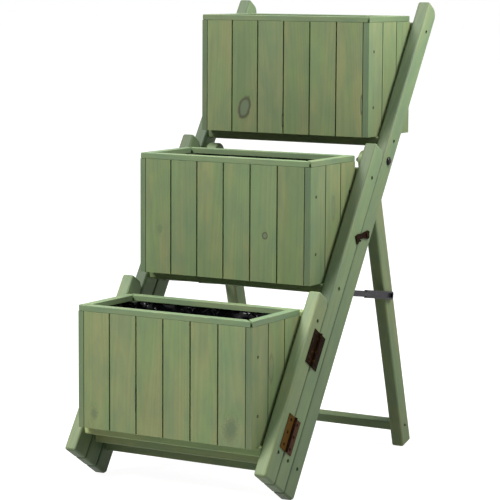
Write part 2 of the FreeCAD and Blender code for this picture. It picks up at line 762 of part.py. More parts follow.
doc.recompute()
faults = [item.Name for item in doc.Objects if "Invalid" in item.State or "Error" in item.State]
for item in pieces:
    shape = item.Shape
    if shape.isNull() or not shape.isValid() or not shape.Solids:
        faults.append(item.Label)
if faults:
    raise RuntimeError(f"failed objects: {faults}")
os.makedirs("parts", exist_ok=True)
for item in pieces:
    item.Shape.exportStep(f"parts/{item.Label}.step")
boxes = [item.Shape.BoundBox for item in pieces]
print(len(pieces), "pieces, Y", min(box.YMin for box in boxes), max(box.YMax for box in boxes))
print("X", min(box.XMin for box in boxes), max(box.XMax for box in boxes))
print("Z", min(box.ZMin for box in boxes), max(box.ZMax for box in boxes))
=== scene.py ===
"""Looks of a folding three-tier plant stand: stained boards, lacquered fittings and crumpled film liners."""

import logging
import math
from dataclasses import dataclass, field, replace
from enum import Enum
from typing import Any, Dict, List, Optional, Sequence, Tuple, Union

import bpy
from mathutils import Matrix, Vector, noise

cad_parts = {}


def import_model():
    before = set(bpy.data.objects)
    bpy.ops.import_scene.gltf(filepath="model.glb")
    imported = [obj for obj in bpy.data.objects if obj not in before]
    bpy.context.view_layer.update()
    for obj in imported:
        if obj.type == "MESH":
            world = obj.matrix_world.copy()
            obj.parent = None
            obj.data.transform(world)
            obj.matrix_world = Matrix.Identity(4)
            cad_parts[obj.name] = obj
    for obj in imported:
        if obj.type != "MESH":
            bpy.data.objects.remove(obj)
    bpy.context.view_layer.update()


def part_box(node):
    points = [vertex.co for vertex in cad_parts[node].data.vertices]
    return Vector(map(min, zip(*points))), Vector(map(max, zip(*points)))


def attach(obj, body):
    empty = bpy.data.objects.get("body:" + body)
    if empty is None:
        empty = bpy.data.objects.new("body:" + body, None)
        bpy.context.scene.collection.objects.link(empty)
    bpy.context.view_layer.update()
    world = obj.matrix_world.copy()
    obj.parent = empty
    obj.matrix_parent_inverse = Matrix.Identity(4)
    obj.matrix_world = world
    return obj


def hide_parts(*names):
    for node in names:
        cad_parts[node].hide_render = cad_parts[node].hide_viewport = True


LOG = logging.getLogger("plant_stand")
ROOT_BODY = "frame"
LEG_BODY = "rear_legs"
FRONT_SLATS = 6
SIDE_SLATS = 3
SIDES = {"right": 1, "left": -1}
RAIL_LEAN = math.radians(32.8)
LEG_LEAN = math.radians(15.65)
UP_RAIL = Vector((0.0, math.sin(RAIL_LEAN), math.cos(RAIL_LEAN)))
ACROSS_RAIL = Vector((0.0, math.cos(RAIL_LEAN), -math.sin(RAIL_LEAN)))
SAME_POINT = 1e-5
ONE_FACE = math.radians(1)
SHARP_EDGE = math.radians(35)
ROUNDING = {"limit_method": "ANGLE", "angle_limit": SHARP_EDGE}
ENDS = (0.75, 0.95)

Colour = Tuple[float, ...]
Span = Tuple[float, float]
Piece = bpy.types.Object
Material = bpy.types.Material
Feed = Union[float, Sequence[float], "Wire"]
Feeds = Dict[Union[int, str], Feed]


def srgb(red: int, green: int, blue: int) -> Colour:
    """Turn display colour values into the linear ones that shaders take.

    Args:
        red: Display value from 0 to 255.
        green: Display value from 0 to 255.
        blue: Display value from 0 to 255.

    Returns:
        Linear red, green, blue and a full alpha.
    """
    parts = [value / 255 for value in (red, green, blue)]
    linear = [part / 12.92 if part <= 0.04045 else ((part + 0.055) / 1.055) ** 2.4 for part in parts]
    return (*linear, 1.0)


class Tier(Enum):
    """The three planter boxes, from the floor up."""

    LOWER = "lower"
    MIDDLE = "middle"
    UPPER = "upper"


class Lay(Enum):
    """How a node's boards lie.

    Each has their turn about X, the axes across, through and along them, and whether they meet in mitres.
    """

    FRONT = (0.0, "xyz", False)
    SIDE = (0.0, "yxz", False)
    CROSS = (0.0, "zyx", False)
    FLOOR = (0.0, "yzx", False)
    RIM = (0.0, "yzx", True)
    RAIL = (-RAIL_LEAN, "yxz", False)
    LEG = (LEG_LEAN, "yxz", False)
    LEG_BAR = (LEG_LEAN, "zyx", False)

    @property
    def turn(self) -> float:
        """Angle about X from the row's axes to the board's."""
        return self.value[0]

    @property
    def order(self) -> str:
        """The axes that run across, through and along the board."""
        return self.value[1]

    @property
    def mitred(self) -> bool:
        """Whether four boards meet in mitres."""
        return self.value[2]


@dataclass(frozen=True)
class Knot:
    """A knot in a board, placed from the middle of its node.

    Attributes:
        across: Place across the boards, in metres.
        along: Place along the boards, in metres.
        radius: Half of its width, in metres.
        depth: How dark it is, from 0 to 1.
        stretch: Its length along the board over its width.
        tilt: How far it leans across the board for each metre along it.
        soft: Whether it lies under the surface and shows as a smudge.
    """

    across: float
    along: float
    radius: float
    depth: float = 1.0
    stretch: float = 1.6
    tilt: float = 0.0
    soft: bool = False


@dataclass(frozen=True)
class BoardLook:
    """How the boards of one node are laid, stained and eased.

    Attributes:
        lay: How they lie.
        slats: How many lie side by side.
        knots: Knots that show on them.
        grooves: Places across the boards, from the origin, where they are painted darker along a seam.
        tone: Painted light and shade: how much lighter or darker the stain is painted than the plain one,
            standing in for how the light falls on the boards.
        fade: Painted light: how much lighter it is painted in each metre towards the boards' upper ends,
            standing in for light that is stronger higher up.
        blueness: How far a board can lean towards the bluish tint.
        edge: Width of the eased edges, in metres.
    """

    lay: Lay
    slats: int = 1
    knots: Tuple[Knot, ...] = ()
    grooves: Tuple[float, ...] = ()
    tone: float = 1.0
    fade: float = 0.0
    blueness: float = 0.3
    edge: float = 0.0015


@dataclass(frozen=True)
class Rings:
    """Growth rings that a sawn board cuts.

    Attributes:
        gap: Distance from ring to ring.
        waver: How far the rings waver.
        drift: How far the heart can drift across the board for each metre along it.
        beside: How far the heart can lie from the board's middle line.
        below: How far the heart can differ in depth, and its mean depth.
        rise: Part of a ring in which the late wood gets darker.
        fall: Part of a ring in which it ends.
        shift: How far noises are shifted for each step of a board's seed.
    """

    gap: float = 0.0046
    waver: float = 0.022
    drift: float = 0.16
    beside: float = 0.06
    below: Span = (0.05, 0.037)
    rise: Span = (0.35, 0.86)
    fall: Span = (0.88, 1.0)
    shift: float = 0.37


@dataclass(frozen=True)
class KnotShape:
    """Where the parts of a knot start and end, in shares of its radius.

    Attributes:
        outline: How fine its outline wavers, and how much.
        heart: The heart's end.
        rim_in: The rim's start.
        rim_out: The rim's end.
        halo_in: The start of the halo above it.
        halo_out: The halo's end.
        halo_rise: Distance above the middle where the halo is full.
        patches: How fine a smudge's patches are, how much they differ, and their mean.
        smudge: The smudge's end.
    """

    outline: Span = (80.0, 0.36)
    heart: Span = (0.75, 1.0)
    rim_in: Span = (0.6, 0.95)
    rim_out: Span = (0.95, 1.3)
    halo_in: Span = (0.95, 1.25)
    halo_out: Span = (1.1, 2.4)
    halo_rise: float = 0.02
    patches: Tuple[float, float, float] = (240.0, 2.0, 0.9)
    smudge: Span = (0.3, 1.25)


@dataclass(frozen=True)
class Grain:
    """A noise that is drawn out along a board.

    Attributes:
        across: How fine it is across the board.
        along: How fine it is along the board.
        detail: How many finer noises lie over it.
        rough: How strong those are.
        shifted: Whether it also starts at another place along each board.
    """

    across: float
    along: float
    detail: float = 2.0
    rough: float = 0.5
    shifted: bool = False


@dataclass(frozen=True)
class Stain:
    """Green stain on softwood.

    Attributes:
        slot: Name of a material slot; not used.
        green: Its plain colour.
        olive: Its colour where the wood is warmer.
        pink: Its colour in rosy streaks.
        blue: Its bluish tint.
        clear_knot: Parts of a knot, with how strongly each shows and its colour.
        soft_knot: The same for a knot under the surface.
        roughness: How dull it is, and how much the fibres change that.
        shine: How strongly it mirrors.
        bump: Strength and height of the fibres.
        late: How much late wood darkens it, its lightness beside that, and how much it stands out.
        shares: How much fibres, streaks, boards and mottling change its lightness.
        warm: Clouds in which it turns olive, and how much the boards differ in that.
        streaks: Streaks in which it turns rosy.
        rosy: Clouds in which they show, and how strongly.
        tint: How much the boards differ in blueness, and the mean of that.
        cool: Mottling in which it is bluish, and how much.
        groove: How much darker a seam is on the rails, and the distances from it where that ends.
        seam: How dark the boards are beside their seams, and the distances where that ends.
        end_grain: How much darker the boards' ends are.
        edge_blue: How much bluer the edges of the side boards are.
    """

    slot: str = "green_wood"
    green: Colour = srgb(120, 139, 92)
    olive: Colour = srgb(134, 140, 95)
    pink: Colour = srgb(140, 138, 99)
    blue: Colour = srgb(115, 139, 106)
    clear_knot: Tuple[Tuple[str, float, Colour], ...] = (
        ("Halo", 0.5, srgb(96, 128, 82)),
        ("Heart", 0.8, srgb(104, 117, 92)),
        ("Rim", 0.85, srgb(68, 65, 48)),
    )
    soft_knot: Tuple[Tuple[str, float, Colour], ...] = (
        ("Halo", 0.5, srgb(96, 128, 82)),
        ("Smudge", 0.8, srgb(88, 104, 78)),
    )
    roughness: Span = (0.58, 0.16)
    shine: float = 0.35
    bump: Span = (0.25, 0.0003)
    late: Tuple[float, float, float] = (-0.07, 1.02, 0.3)
    shares: Tuple[float, float, float, float] = (0.1, 0.14, 0.12, 0.42)
    warm: Tuple[float, float, float] = (0.34, 0.68, 0.18)
    streaks: Span = (0.48, 0.72)
    rosy: Tuple[float, float, float, float] = (0.4, 0.6, 0.08, 0.42)
    tint: Span = (0.3, -0.15)
    cool: Tuple[float, float, float, float] = (0.4, 0.56, 0.25, 0.0)
    groove: Tuple[float, float, float] = (0.55, 0.0008, 0.0034)
    seam: Tuple[float, float, float] = (0.74, 0.0006, 0.0024)
    end_grain: float = 0.3
    edge_blue: float = 0.4


@dataclass(frozen=True)
class Lacquer:
    """Lacquered or bare metal with a worn, uneven film.

    Attributes:
        name: Name of its material.
        slot: Name of a material slot; not used.
        film: Colour of the film.
        bare: Colour of the metal where the film is thin.
        metallic: Share of it that shines like bare metal.
        roughness: How dull it is.
        wear: How much shows through the thin spots.
        shine: How strongly the film mirrors.
        worn: Height under which the film is worn off its flat sides.
        grain: How much a fine grain changes its dullness.
        bump: Strength and height of that grain.
    """

    name: str
    slot: str
    film: Colour
    bare: Colour
    metallic: float
    roughness: float
    wear: float
    shine: float = 0.5
    worn: float = 0.0
    grain: float = 0.2
    bump: Span = (0.15, 0.0003)


@dataclass(frozen=True)
class Film:
    """Thin black film with a dull shine and sharp creases.

    Attributes:
        name: Name of its material.
        slot: Name of a material slot; not used.
        body: Its colour.
        pale: Its colour where it is scuffed.
        roughness: How dull it is, and how much scuffs change that.
        shine: How strongly it mirrors.
        scuffs: How fine the scuffs are, and the noise between which they show.
        facets: How many facets a metre has, with their slopes, for the large and the small creases.
        ridges: How many creases a metre has that stand up as ridges.
        ridge: Half of a ridge's width.
        steep: How steep the ridges are.
        patch: How many patches with ridges a metre has, and the noise between which they start.
    """

    name: str = "black_film"
    slot: str = "black_liner"
    body: Colour = srgb(8, 8, 10)
    pale: Colour = srgb(17, 17, 20)
    roughness: Span = (0.17, 0.16)
    shine: float = 0.16
    scuffs: Tuple[float, float, float] = (40.0, 0.5, 0.8)
    facets: Tuple[Span, ...] = ((34.0, 0.16), (95.0, 0.06))
    ridges: float = 45.0
    ridge: float = 0.0013
    steep: float = 1.6
    patch: Tuple[float, float, float] = (9.0, 0.44, 0.5)


STAIN = Stain()
RINGS = Rings()
KNOT = KnotShape()
WAVER = Grain(9.0, 1.6)
GRAINS = {
    "Fibre": Grain(520.0, 9.0, 3.0, 0.6),
    "Cloud": Grain(24.0, 4.0),
    "Streak": Grain(150.0, 3.2, 2.0, 0.6),
    "Mottle": Grain(34.0, 13.0, 3.0, 0.55, shifted=True),
}
FRONT_KNOTS = {
    Tier.LOWER: (
        Knot(-0.166, -0.088, 0.009, 0.75, 1.5, soft=True),
        Knot(0.158, -0.084, 0.017, 0.95, 1.5, 0.15, soft=True),
        Knot(-0.0645, -0.050, 0.0022, 0.9, 12.0),
    ),
    Tier.MIDDLE: (Knot(0.100, -0.024, 0.006, 1.0, 1.15), Knot(-0.156, -0.026, 0.008, 0.6, 1.4, soft=True)),
    Tier.UPPER: (
        Knot(-0.0965, -0.067, 0.0135, 1.0, 1.62, 0.2),
        Knot(-0.0018, -0.092, 0.0022, 0.8, 6.0),
        Knot(0.1895, -0.052, 0.0028, 0.8, 7.0),
    ),
}
SIDE_KNOTS = {
    Tier.LOWER: (Knot(-0.02, 0.03, 0.009, 0.35, 3.0),),
    Tier.MIDDLE: (Knot(0.002, 0.03, 0.007, 0.3, 3.5),),
    Tier.UPPER: (),
}
# Painted light and shade: the lower box is painted lighter and the upper one darker, standing in for how the
# lamps light the three tiers.
BOX_PAINTED_SHADING = {Tier.LOWER: 1.15, Tier.MIDDLE: 1.03, Tier.UPPER: 0.92}
FILM = Film()
THIN_SPOTS = (130.0, 4.0, 0.65)
THIN_FROM = (0.52, 0.72)
FINE_GRAIN = 900.0
ANTIQUE = Lacquer(
    "antique_brown", "antique_metal", srgb(32, 20, 11), srgb(112, 70, 36), 0.0, 0.44, 0.3, 0.012
)
WORN_FRONT = replace(ANTIQUE, name="worn_copper", bare=srgb(116, 84, 38), worn=0.18)
WORN_REAR = replace(ANTIQUE, name="worn_brown", bare=srgb(98, 68, 52), worn=0.18)
DARK_STEEL = Lacquer("dark_steel", "dark_steel", srgb(40, 39, 43), srgb(96, 96, 100), 0.9, 0.34, 0.3, 0.2)
BOLT_STEEL = Lacquer("bolt_steel", "bolt_steel", srgb(34, 32, 31), srgb(96, 92, 86), 0.9, 0.3, 0.3, 0.3)
ZINC = Lacquer("zinc", "bolt_steel", srgb(168, 168, 164), srgb(190, 190, 188), 0.9, 0.32, 0.4)
SCREW_STEEL = Lacquer("screw_steel", "bolt_steel", srgb(48, 44, 36), srgb(96, 88, 70), 0.85, 0.42, 0.3)


class Wire:
    """An output of a shader node, which sums and products can be made of."""

    def __init__(self, graph: "Graph", socket: bpy.types.NodeSocket) -> None:
        """Take the graph and the output."""
        self.graph, self.socket = graph, socket

    def __add__(self, other: Feed) -> "Wire":
        """Add a value."""
        return self.graph.math("ADD", self, other)

    def __sub__(self, other: Feed) -> "Wire":
        """Take a value off."""
        return self.graph.math("SUBTRACT", self, other)

    def __rsub__(self, other: Feed) -> "Wire":
        """Take this off a value."""
        return self.graph.math("SUBTRACT", other, self)

    def __mul__(self, other: Feed) -> "Wire":
        """Multiply by a value."""
        return self.graph.math("MULTIPLY", self, other)

    def __rmul__(self, other: Feed) -> "Wire":
        """Multiply a value by this."""
        return self.graph.math("MULTIPLY", other, self)

    def __truediv__(self, other: Feed) -> "Wire":
        """Divide by a value."""
        return self.graph.math("DIVIDE", self, other)

    def __abs__(self) -> "Wire":
        """Drop the sign."""
        return self.graph.math("ABSOLUTE", self)

    def ramp(self, rate: Feed, start: Feed) -> "Wire":
        """Multiply by a rate and add a start."""
        return self.graph.math("MULTIPLY_ADD", self, rate, start)

    def about(self, spread: float, middle: float = 0.0) -> "Wire":
        """Spread a value from 0 to 1 about a middle."""
        return self.ramp(spread, middle - spread / 2)

    def step(self, low: float, high: float, start: float = 0.0, end: float = 1.0) -> "Wire":
        """Ease from start to end between two limits."""
        feeds = {"Value": self, "From Min": low, "From Max": high, "To Min": start, "To Max": end}
        return self.graph.wire("ShaderNodeMapRange", feeds, "Result", interpolation_type="SMOOTHSTEP")


class Graph:
    """Adds and links the nodes of one shader tree."""

    def __init__(self, tree: bpy.types.NodeTree) -> None:
        """Take the tree to work in."""
        self.tree = tree

    def feed(self, socket: bpy.types.NodeSocket, value: Feed) -> None:
        """Link a socket to an output, or set its value.

        Args:
            socket: The input.
            value: What it gets.
        """
        if isinstance(value, Wire):
            self.tree.links.new(value.socket, socket)
        else:
            socket.default_value = value

    def add(self, kind: str, feeds: Optional[Feeds] = None, **settings: Any) -> bpy.types.Node:
        """Add a node.

        Args:
            kind: Type of the node.
            feeds: Values or outputs for its inputs, by name or number.
            **settings: Properties of the node.

        Returns:
            The new node.
        """
        node = self.tree.nodes.new(kind)
        for name, value in settings.items():
            setattr(node, name, value)
        for key, value in (feeds or {}).items():
            self.feed(node.inputs[key], value)
        return node

    def wire(
        self, kind: str, feeds: Optional[Feeds] = None, output: Union[int, str] = 0, **settings: Any
    ) -> Wire:
        """Add a node and give one of its outputs."""
        return Wire(self, self.add(kind, feeds, **settings).outputs[output])

    def math(self, operation: str, *values: Feed) -> Wire:
        """Add a Math node."""
        return self.wire("ShaderNodeMath", dict(enumerate(values)), operation=operation)

    def vectors(self, operation: str, *values: Feed, output: Union[int, str] = 0) -> Wire:
        """Add a Vector Math node."""
        return self.wire("ShaderNodeVectorMath", dict(enumerate(values)), output, operation=operation)

    def mix(self, factor: Feed, first: Feed, second: Feed) -> Wire:
        """Mix two colours."""
        return self.wire("ShaderNodeMix", {0: factor, 6: first, 7: second}, 2, data_type="RGBA")

    def shade(self, colour: Feed, factor: Feed) -> Wire:
        """Make a colour lighter or darker by a factor."""
        return self.wire("ShaderNodeVectorMath", {0: colour, "Scale": factor}, operation="SCALE")

    def noise(self, place: Feed, scale: float, detail: float = 2.0, roughness: float = 0.5) -> Wire:
        """Add a noise texture."""
        feeds = {"Vector": place, "Scale": scale, "Detail": detail, "Roughness": roughness}
        return self.wire("ShaderNodeTexNoise", feeds)

    def vector(self, x: Feed, y: Feed, z: Feed) -> Wire:
        """Put three values into a vector."""
        return self.wire("ShaderNodeCombineXYZ", {0: x, 1: y, 2: z})

    def split(self, place: Feed) -> List[Wire]:
        """Take a vector apart."""
        return [Wire(self, output) for output in self.add("ShaderNodeSeparateXYZ", {0: place}).outputs]

    def random(self, seed: Feed) -> List[Wire]:
        """Three random values that belong to a seed."""
        white = self.wire("ShaderNodeTexWhiteNoise", {"W": seed}, "Color", noise_dimensions="1D")
        return [Wire(self, output) for output in self.add("ShaderNodeSeparateColor", {0: white}).outputs]

    def place(self, output: str = "Object") -> Wire:
        """Place on the surface, or another texture coordinate."""
        return self.wire("ShaderNodeTexCoord", output=output)

    def turned(self, output: str, turn: float, middle: Sequence[float] = (0.0, 0.0, 0.0)) -> Dict[str, Wire]:
        """Coordinates from a middle along axes that are turned about X, by the axes' letters."""
        feeds = {"Vector": self.place(output), "Location": middle, "Rotation": (turn, 0.0, 0.0)}
        return dict(zip("xyz", self.split(self.wire("ShaderNodeMapping", feeds, vector_type="TEXTURE"))))

    def group(self, tree: bpy.types.NodeTree, feeds: Feeds) -> Dict[str, Wire]:
        """Add a node group and give its outputs by name."""
        node = self.add("ShaderNodeGroup", feeds, node_tree=tree)
        return {output.name: Wire(self, output) for output in node.outputs}

    def cover(self, shader: bpy.types.Node, looks: Dict[str, Feed], bump: Span, height: Wire) -> None:
        """Set a shader's looks.

        Args:
            shader: The shader.
            looks: Values or outputs for its inputs.
            bump: Strength and height of the bump.
            height: Height of the surface under it.
        """
        feeds = {"Strength": bump[0], "Distance": bump[1], "Height": height}
        for name, value in {**looks, "Normal": self.wire("ShaderNodeBump", feeds)}.items():
            self.feed(shader.inputs[name], value)


def node_group(
    name: str, inputs: Dict[str, str], outputs: Dict[str, str]
) -> Tuple[Graph, Dict[str, Wire], bpy.types.NodeInputs]:
    """Start a shader node group.

    Args:
        name: Name of the group.
        inputs: Kinds of its input sockets, by name.
        outputs: Kinds of its output sockets, by name.

    Returns:
        The group's graph, what is given to it by name, and the sockets of what it gives.
    """
    tree = bpy.data.node_groups.new(name, "ShaderNodeTree")
    for way, sockets in (("INPUT", inputs), ("OUTPUT", outputs)):
        for label, kind in sockets.items():
            tree.interface.new_socket(name=label, in_out=way, socket_type=f"NodeSocket{kind}")
    graph = Graph(tree)
    given = graph.add("NodeGroupInput").outputs
    return graph, {label: Wire(graph, given[label]) for label in inputs}, graph.add("NodeGroupOutput").inputs


def draw_grain(graph: Graph, grain: Grain, axes: Sequence[Wire], offset: Wire) -> Wire:
    """Draw a noise out along a board.

    Args:
        graph: The graph to add it to.
        grain: How fine it is.
        axes: Places across, through and along the board.
        offset: Shift of the board.

    Returns:
        The noise.
    """
    across, through, along = axes
    end = along.ramp(grain.along, offset) if grain.shifted else along * grain.along
    place = graph.vector(across.ramp(grain.across, offset), through * grain.across, end)
    return graph.noise(place, 1.0, grain.detail, grain.rough)


def figure_group() -> bpy.types.NodeTree:
    """Growth rings, fibres and clouds of a sawn board.

    Returns:
        A group that takes a place on the board (across, through, along), a seed and the gap between rings.
    """
    graph, given, out = node_group(
        "board_figure",
        {"Place": "Vector", "Seed": "Float", "Ring Gap": "Float"},
        {"Late": "Float", **{name: "Float" for name in GRAINS}},
    )
    axes = graph.split(given["Place"])
    across, through, along = axes
    first, second, third = graph.random(given["Seed"])
    offset = given["Seed"] * RINGS.shift
    beside = across - along.ramp(third.about(RINGS.drift), first.about(RINGS.beside))
    below = through - second.about(*RINGS.below)
    waver = draw_grain(graph, WAVER, axes, offset).about(RINGS.waver)
    reach = graph.math("SQRT", beside * beside + below * below) + waver
    phase = graph.math("FRACT", reach / given["Ring Gap"])
    graph.feed(out["Late"], phase.step(*RINGS.rise) * phase.step(*RINGS.fall, 1.0, 0.0))
    for name, grain in GRAINS.items():
        graph.feed(out[name], draw_grain(graph, grain, axes, offset))
    return graph.tree


def knot_group() -> bpy.types.NodeTree:
    """A knot with its rim, and the way that it pushes the fibres aside.

    Returns:
        A group that takes a place on the board, the knot's centre, its radius, its stretch and its tilt.
    """
    graph, given, out = node_group(
        "board_knot",
        {"Place": "Vector", "Centre": "Vector", "Radius": "Float", "Stretch": "Float", "Tilt": "Float"},
        {"Heart": "Float", "Rim": "Float", "Halo": "Float", "Smudge": "Float", "Push": "Vector"},
    )
    beside, _, along = graph.split(graph.vectors("SUBTRACT", given["Place"], given["Centre"]))
    across = beside - along * given["Tilt"]
    oval = along / given["Stretch"]
    ragged = graph.noise(given["Place"], KNOT.outline[0], 1.0).about(KNOT.outline[1], 1.0)
    reach = graph.math("SQRT", across * across + oval * oval) * ragged / given["Radius"]
    graph.feed(out["Heart"], reach.step(*KNOT.heart, 1.0, 0.0))
    graph.feed(out["Rim"], reach.step(*KNOT.rim_in) * reach.step(*KNOT.rim_out, 1.0, 0.0))
    above = oval.step(0.0, KNOT.halo_rise) * reach.step(*KNOT.halo_out, 1.0, 0.0)
    graph.feed(out["Halo"], above * reach.step(*KNOT.halo_in))
    patchy = graph.noise(given["Place"], KNOT.patches[0], 3.0, 0.6).about(*KNOT.patches[1:])
    graph.feed(out["Smudge"], (reach * patchy).step(*KNOT.smudge, 1.0, 0.0))
    near = graph.math("MINIMUM", graph.math("DIVIDE", 1.0, reach.ramp(reach, 0.001)), 1.0)
    graph.feed(out["Push"], graph.vector(across * near * -1.0, 0.0, 0.0))
    return graph.tree


def wear_group() -> bpy.types.NodeTree:
    """Uneven film on small metal pieces.

    Returns:
        A group that takes a place and gives a mask of thin spots and a fine grain.
    """
    graph, given, out = node_group("metal_wear", {"Place": "Vector"}, {"Thin": "Float", "Grain": "Float"})
    graph.feed(out["Thin"], graph.noise(given["Place"], *THIN_SPOTS).step(*THIN_FROM))
    graph.feed(out["Grain"], graph.noise(given["Place"], FINE_GRAIN))
    return graph.tree


class Paintbox:
    """Makes the materials and holds the node groups that they share.

    Attributes:
        seed_step: How far the seeds differ from node to node.
        slat_step: How far they differ from slat to slat.
        side_step: How far they differ between the boards of the two sides.
        rim_steps: How far they differ between the boards of a rim.
        tint_step: Shift of a board's seed for its tint.
        rub_height: Half of the height over which rubbed leaves fade.
        rub_depth: Distances from the rails' face between which the film is whole again.
        rub_share: How much of the film is rubbed off.
        rub_grain: Grain between which that changes, and how much is left of it.
    """

    seed_step: float = 3.7
    slat_step: float = 5.11
    side_step: float = 17.3
    rim_steps: Span = (9.7, 5.3)
    tint_step: float = 0.77
    rub_height: float = 0.02
    rub_depth: Span = (0.0022, 0.003)
    rub_share: float = 0.85
    rub_grain: Tuple[float, float, float, float] = (0.3, 0.7, 0.75, 1.0)

    def __init__(self) -> None:
        """Build the shared node groups."""
        self.figure, self.knot, self.wear = figure_group(), knot_group(), wear_group()
        self.made: Dict[str, Material] = {}
        self.boards = 0

    def blank(self, name: str) -> Tuple[Graph, bpy.types.Node]:
        """Start a material.

        Args:
            name: Name of the material.

        Returns:
            Its graph and its shader.
        """
        material = self.made[name] = bpy.data.materials.new(name)
        material.use_nodes = True
        return Graph(material.node_tree), material.node_tree.nodes["Principled BSDF"]

    def metal(self, finish: Lacquer) -> Material:
        """The material of a metal finish, made once.

        Args:
            finish: The finish.

        Returns:
            The material.
        """
        if finish.name in self.made:
            return self.made[finish.name]
        graph, shader = self.blank(finish.name)
        place = graph.place()
        wear = graph.group(self.wear, {"Place": place})
        grain = wear["Grain"]
        thin = wear["Thin"] * finish.wear
        if finish.worn:
            thin = graph.math("MAXIMUM", thin, self.rubbed(graph, place, grain, finish.worn))
        looks = {
            "Base Color": graph.mix(thin, finish.film, finish.bare),
            "Metallic": finish.metallic,
            "Specular IOR Level": finish.shine,
            "Roughness": grain.about(finish.grain, finish.roughness),
        }
        graph.cover(shader, looks, finish.bump, grain)
        return self.made[finish.name]

    def rubbed(self, graph: Graph, place: Wire, grain: Wire, height: float) -> Wire:
        """Mask of the flat leaves under a height; the round barrels stand out farther and keep their film.

        Args:
            graph: The material's graph.
            place: Place on the surface.
            grain: Fine grain of the film.
            height: The height.

        Returns:
            The mask.
        """
        beside, _, above = graph.split(place)
        low = above.step(height - self.rub_height, height + self.rub_height, self.rub_share, 0.0)
        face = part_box("lower_right_rail")[1].x
        flat = abs(beside).step(face + self.rub_depth[0], face + self.rub_depth[1], 1.0, 0.0)
        return low * flat * grain.step(*self.rub_grain)

    def film(self, finish: Film) -> Material:
        """The material of the liners, made once.

        Args:
            finish: The finish.

        Returns:
            The material.
        """
        if finish.name in self.made:
            return self.made[finish.name]
        graph, shader = self.blank(finish.name)
        place = graph.place()
        height = self.ridges(graph, place, finish)
        for scale, slope in finish.facets:
            height = height + self.facet(graph, place, scale, slope)
        fine, low, high = finish.scuffs
        scuffs = graph.noise(place, fine, 3.0)
        looks = {
            "Base Color": graph.mix(scuffs.step(low, high), finish.body, finish.pale),
            "Specular IOR Level": finish.shine,
            "Roughness": scuffs.about(finish.roughness[1], finish.roughness[0]),
        }
        graph.cover(shader, looks, (1.0, 1.0), height)
        return self.made[finish.name]

    @staticmethod
    def ridges(graph: Graph, place: Wire, finish: Film) -> Wire:
        """Height of the creases that stand up as ridges, in patches.

        Args:
            graph: The material's graph.
            place: Place on the surface.
            finish: The film.

        Returns:
            The height in metres.
        """
        cells = {"Vector": place, "Scale": finish.ridges}
        away = graph.wire("ShaderNodeTexVoronoi", cells, "Distance", feature="DISTANCE_TO_EDGE")
        rise = graph.math("MAXIMUM", away.ramp(-1.0 / finish.ridges, finish.ridge), 0.0)
        fine, low, high = finish.patch
        return rise * (graph.noise(place, fine, 1.0).step(low, high) * finish.steep)

    @staticmethod
    def facet(graph: Graph, place: Wire, scale: float, slope: float) -> Wire:
        """Height of a surface that is creased into flat facets.

        Args:
            graph: The material's graph.
            place: Place on the surface.
            scale: Facets on a metre.
            slope: How steep they are.

        Returns:
            The height in metres.
        """
        cells = graph.add("ShaderNodeTexVoronoi", {"Vector": place, "Scale": scale}).outputs
        away = graph.vectors("SUBTRACT", place, Wire(graph, cells["Position"]))
        tilt = graph.vectors("SUBTRACT", Wire(graph, cells["Color"]), (0.5, 0.5, 0.5))
        return graph.vectors("DOT_PRODUCT", away, tilt, output="Value") * slope

    def wood(self, node: str, look: BoardLook) -> Material:
        """The stained wood of one node, with its own boards.

        Args:
            node: Name of the node.
            look: How its boards are laid and stained.

        Returns:
            The material.
        """
        lay = look.lay
        self.boards += 1
        name = f"stained_{node}"
        graph, shader = self.blank(name)
        low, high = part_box(node)
        axes = graph.turned("Object", lay.turn, (low + high) / 2)
        across, through, along = (axes[letter] for letter in lay.order)
        seed: Feed = float(self.boards * self.seed_step)
        if lay.mitred:
            across, along, seed = self.rim_axes(graph, axes, high - low, seed)
        if lay is Lay.SIDE:
            seed = graph.math("SIGN", through).ramp(self.side_step, seed)
        flat = graph.vectors("MULTIPLY", graph.vector(across, through, along), (1.0, 0.0, 1.0))
        shade, blueness = self.edge_shade(graph, look)
        if look.slats > 1:
            extent = (high - low)["xyz".index(lay.order[0])]
            pitch = extent / look.slats
            number = graph.math("FLOOR", (across + extent / 2) / pitch)
            seed = number.ramp(self.slat_step, seed)
            across = across + number.ramp(-pitch, extent / 2 - pitch / 2)
            dark, near, far = STAIN.seam
            shade = shade * (pitch / 2 - abs(across)).step(near, far, dark, 1.0)
        place = graph.vector(across, through, along)
        spots: List[Tuple[Dict[str, Wire], Knot]] = []
        for knot in look.knots:
            feeds = {"Place": flat, "Centre": (knot.across, 0.0, knot.along), "Radius": knot.radius}
            spot = graph.group(self.knot, {**feeds, "Stretch": knot.stretch, "Tilt": knot.tilt})
            spots.append((spot, knot))
            place = graph.vectors("ADD", place, spot["Push"])
        # Painted light: the boards are painted lighter towards their upper ends.
        if look.fade:
            shade = shade * along.ramp(look.fade, 1.0)
        figure = graph.group(self.figure, {"Place": place, "Seed": seed, "Ring Gap": RINGS.gap})
        colour = self.stain(graph, figure, seed, spots, blueness)
        late, fibre = figure["Late"], figure["Fibre"]
        looks = {
            "Base Color": graph.shade(colour, shade),
            "Specular IOR Level": STAIN.shine,
            "Roughness": fibre.about(STAIN.roughness[1], STAIN.roughness[0]),
        }
        graph.cover(shader, looks, STAIN.bump, late.ramp(STAIN.late[2], fibre))
        return self.made[name]

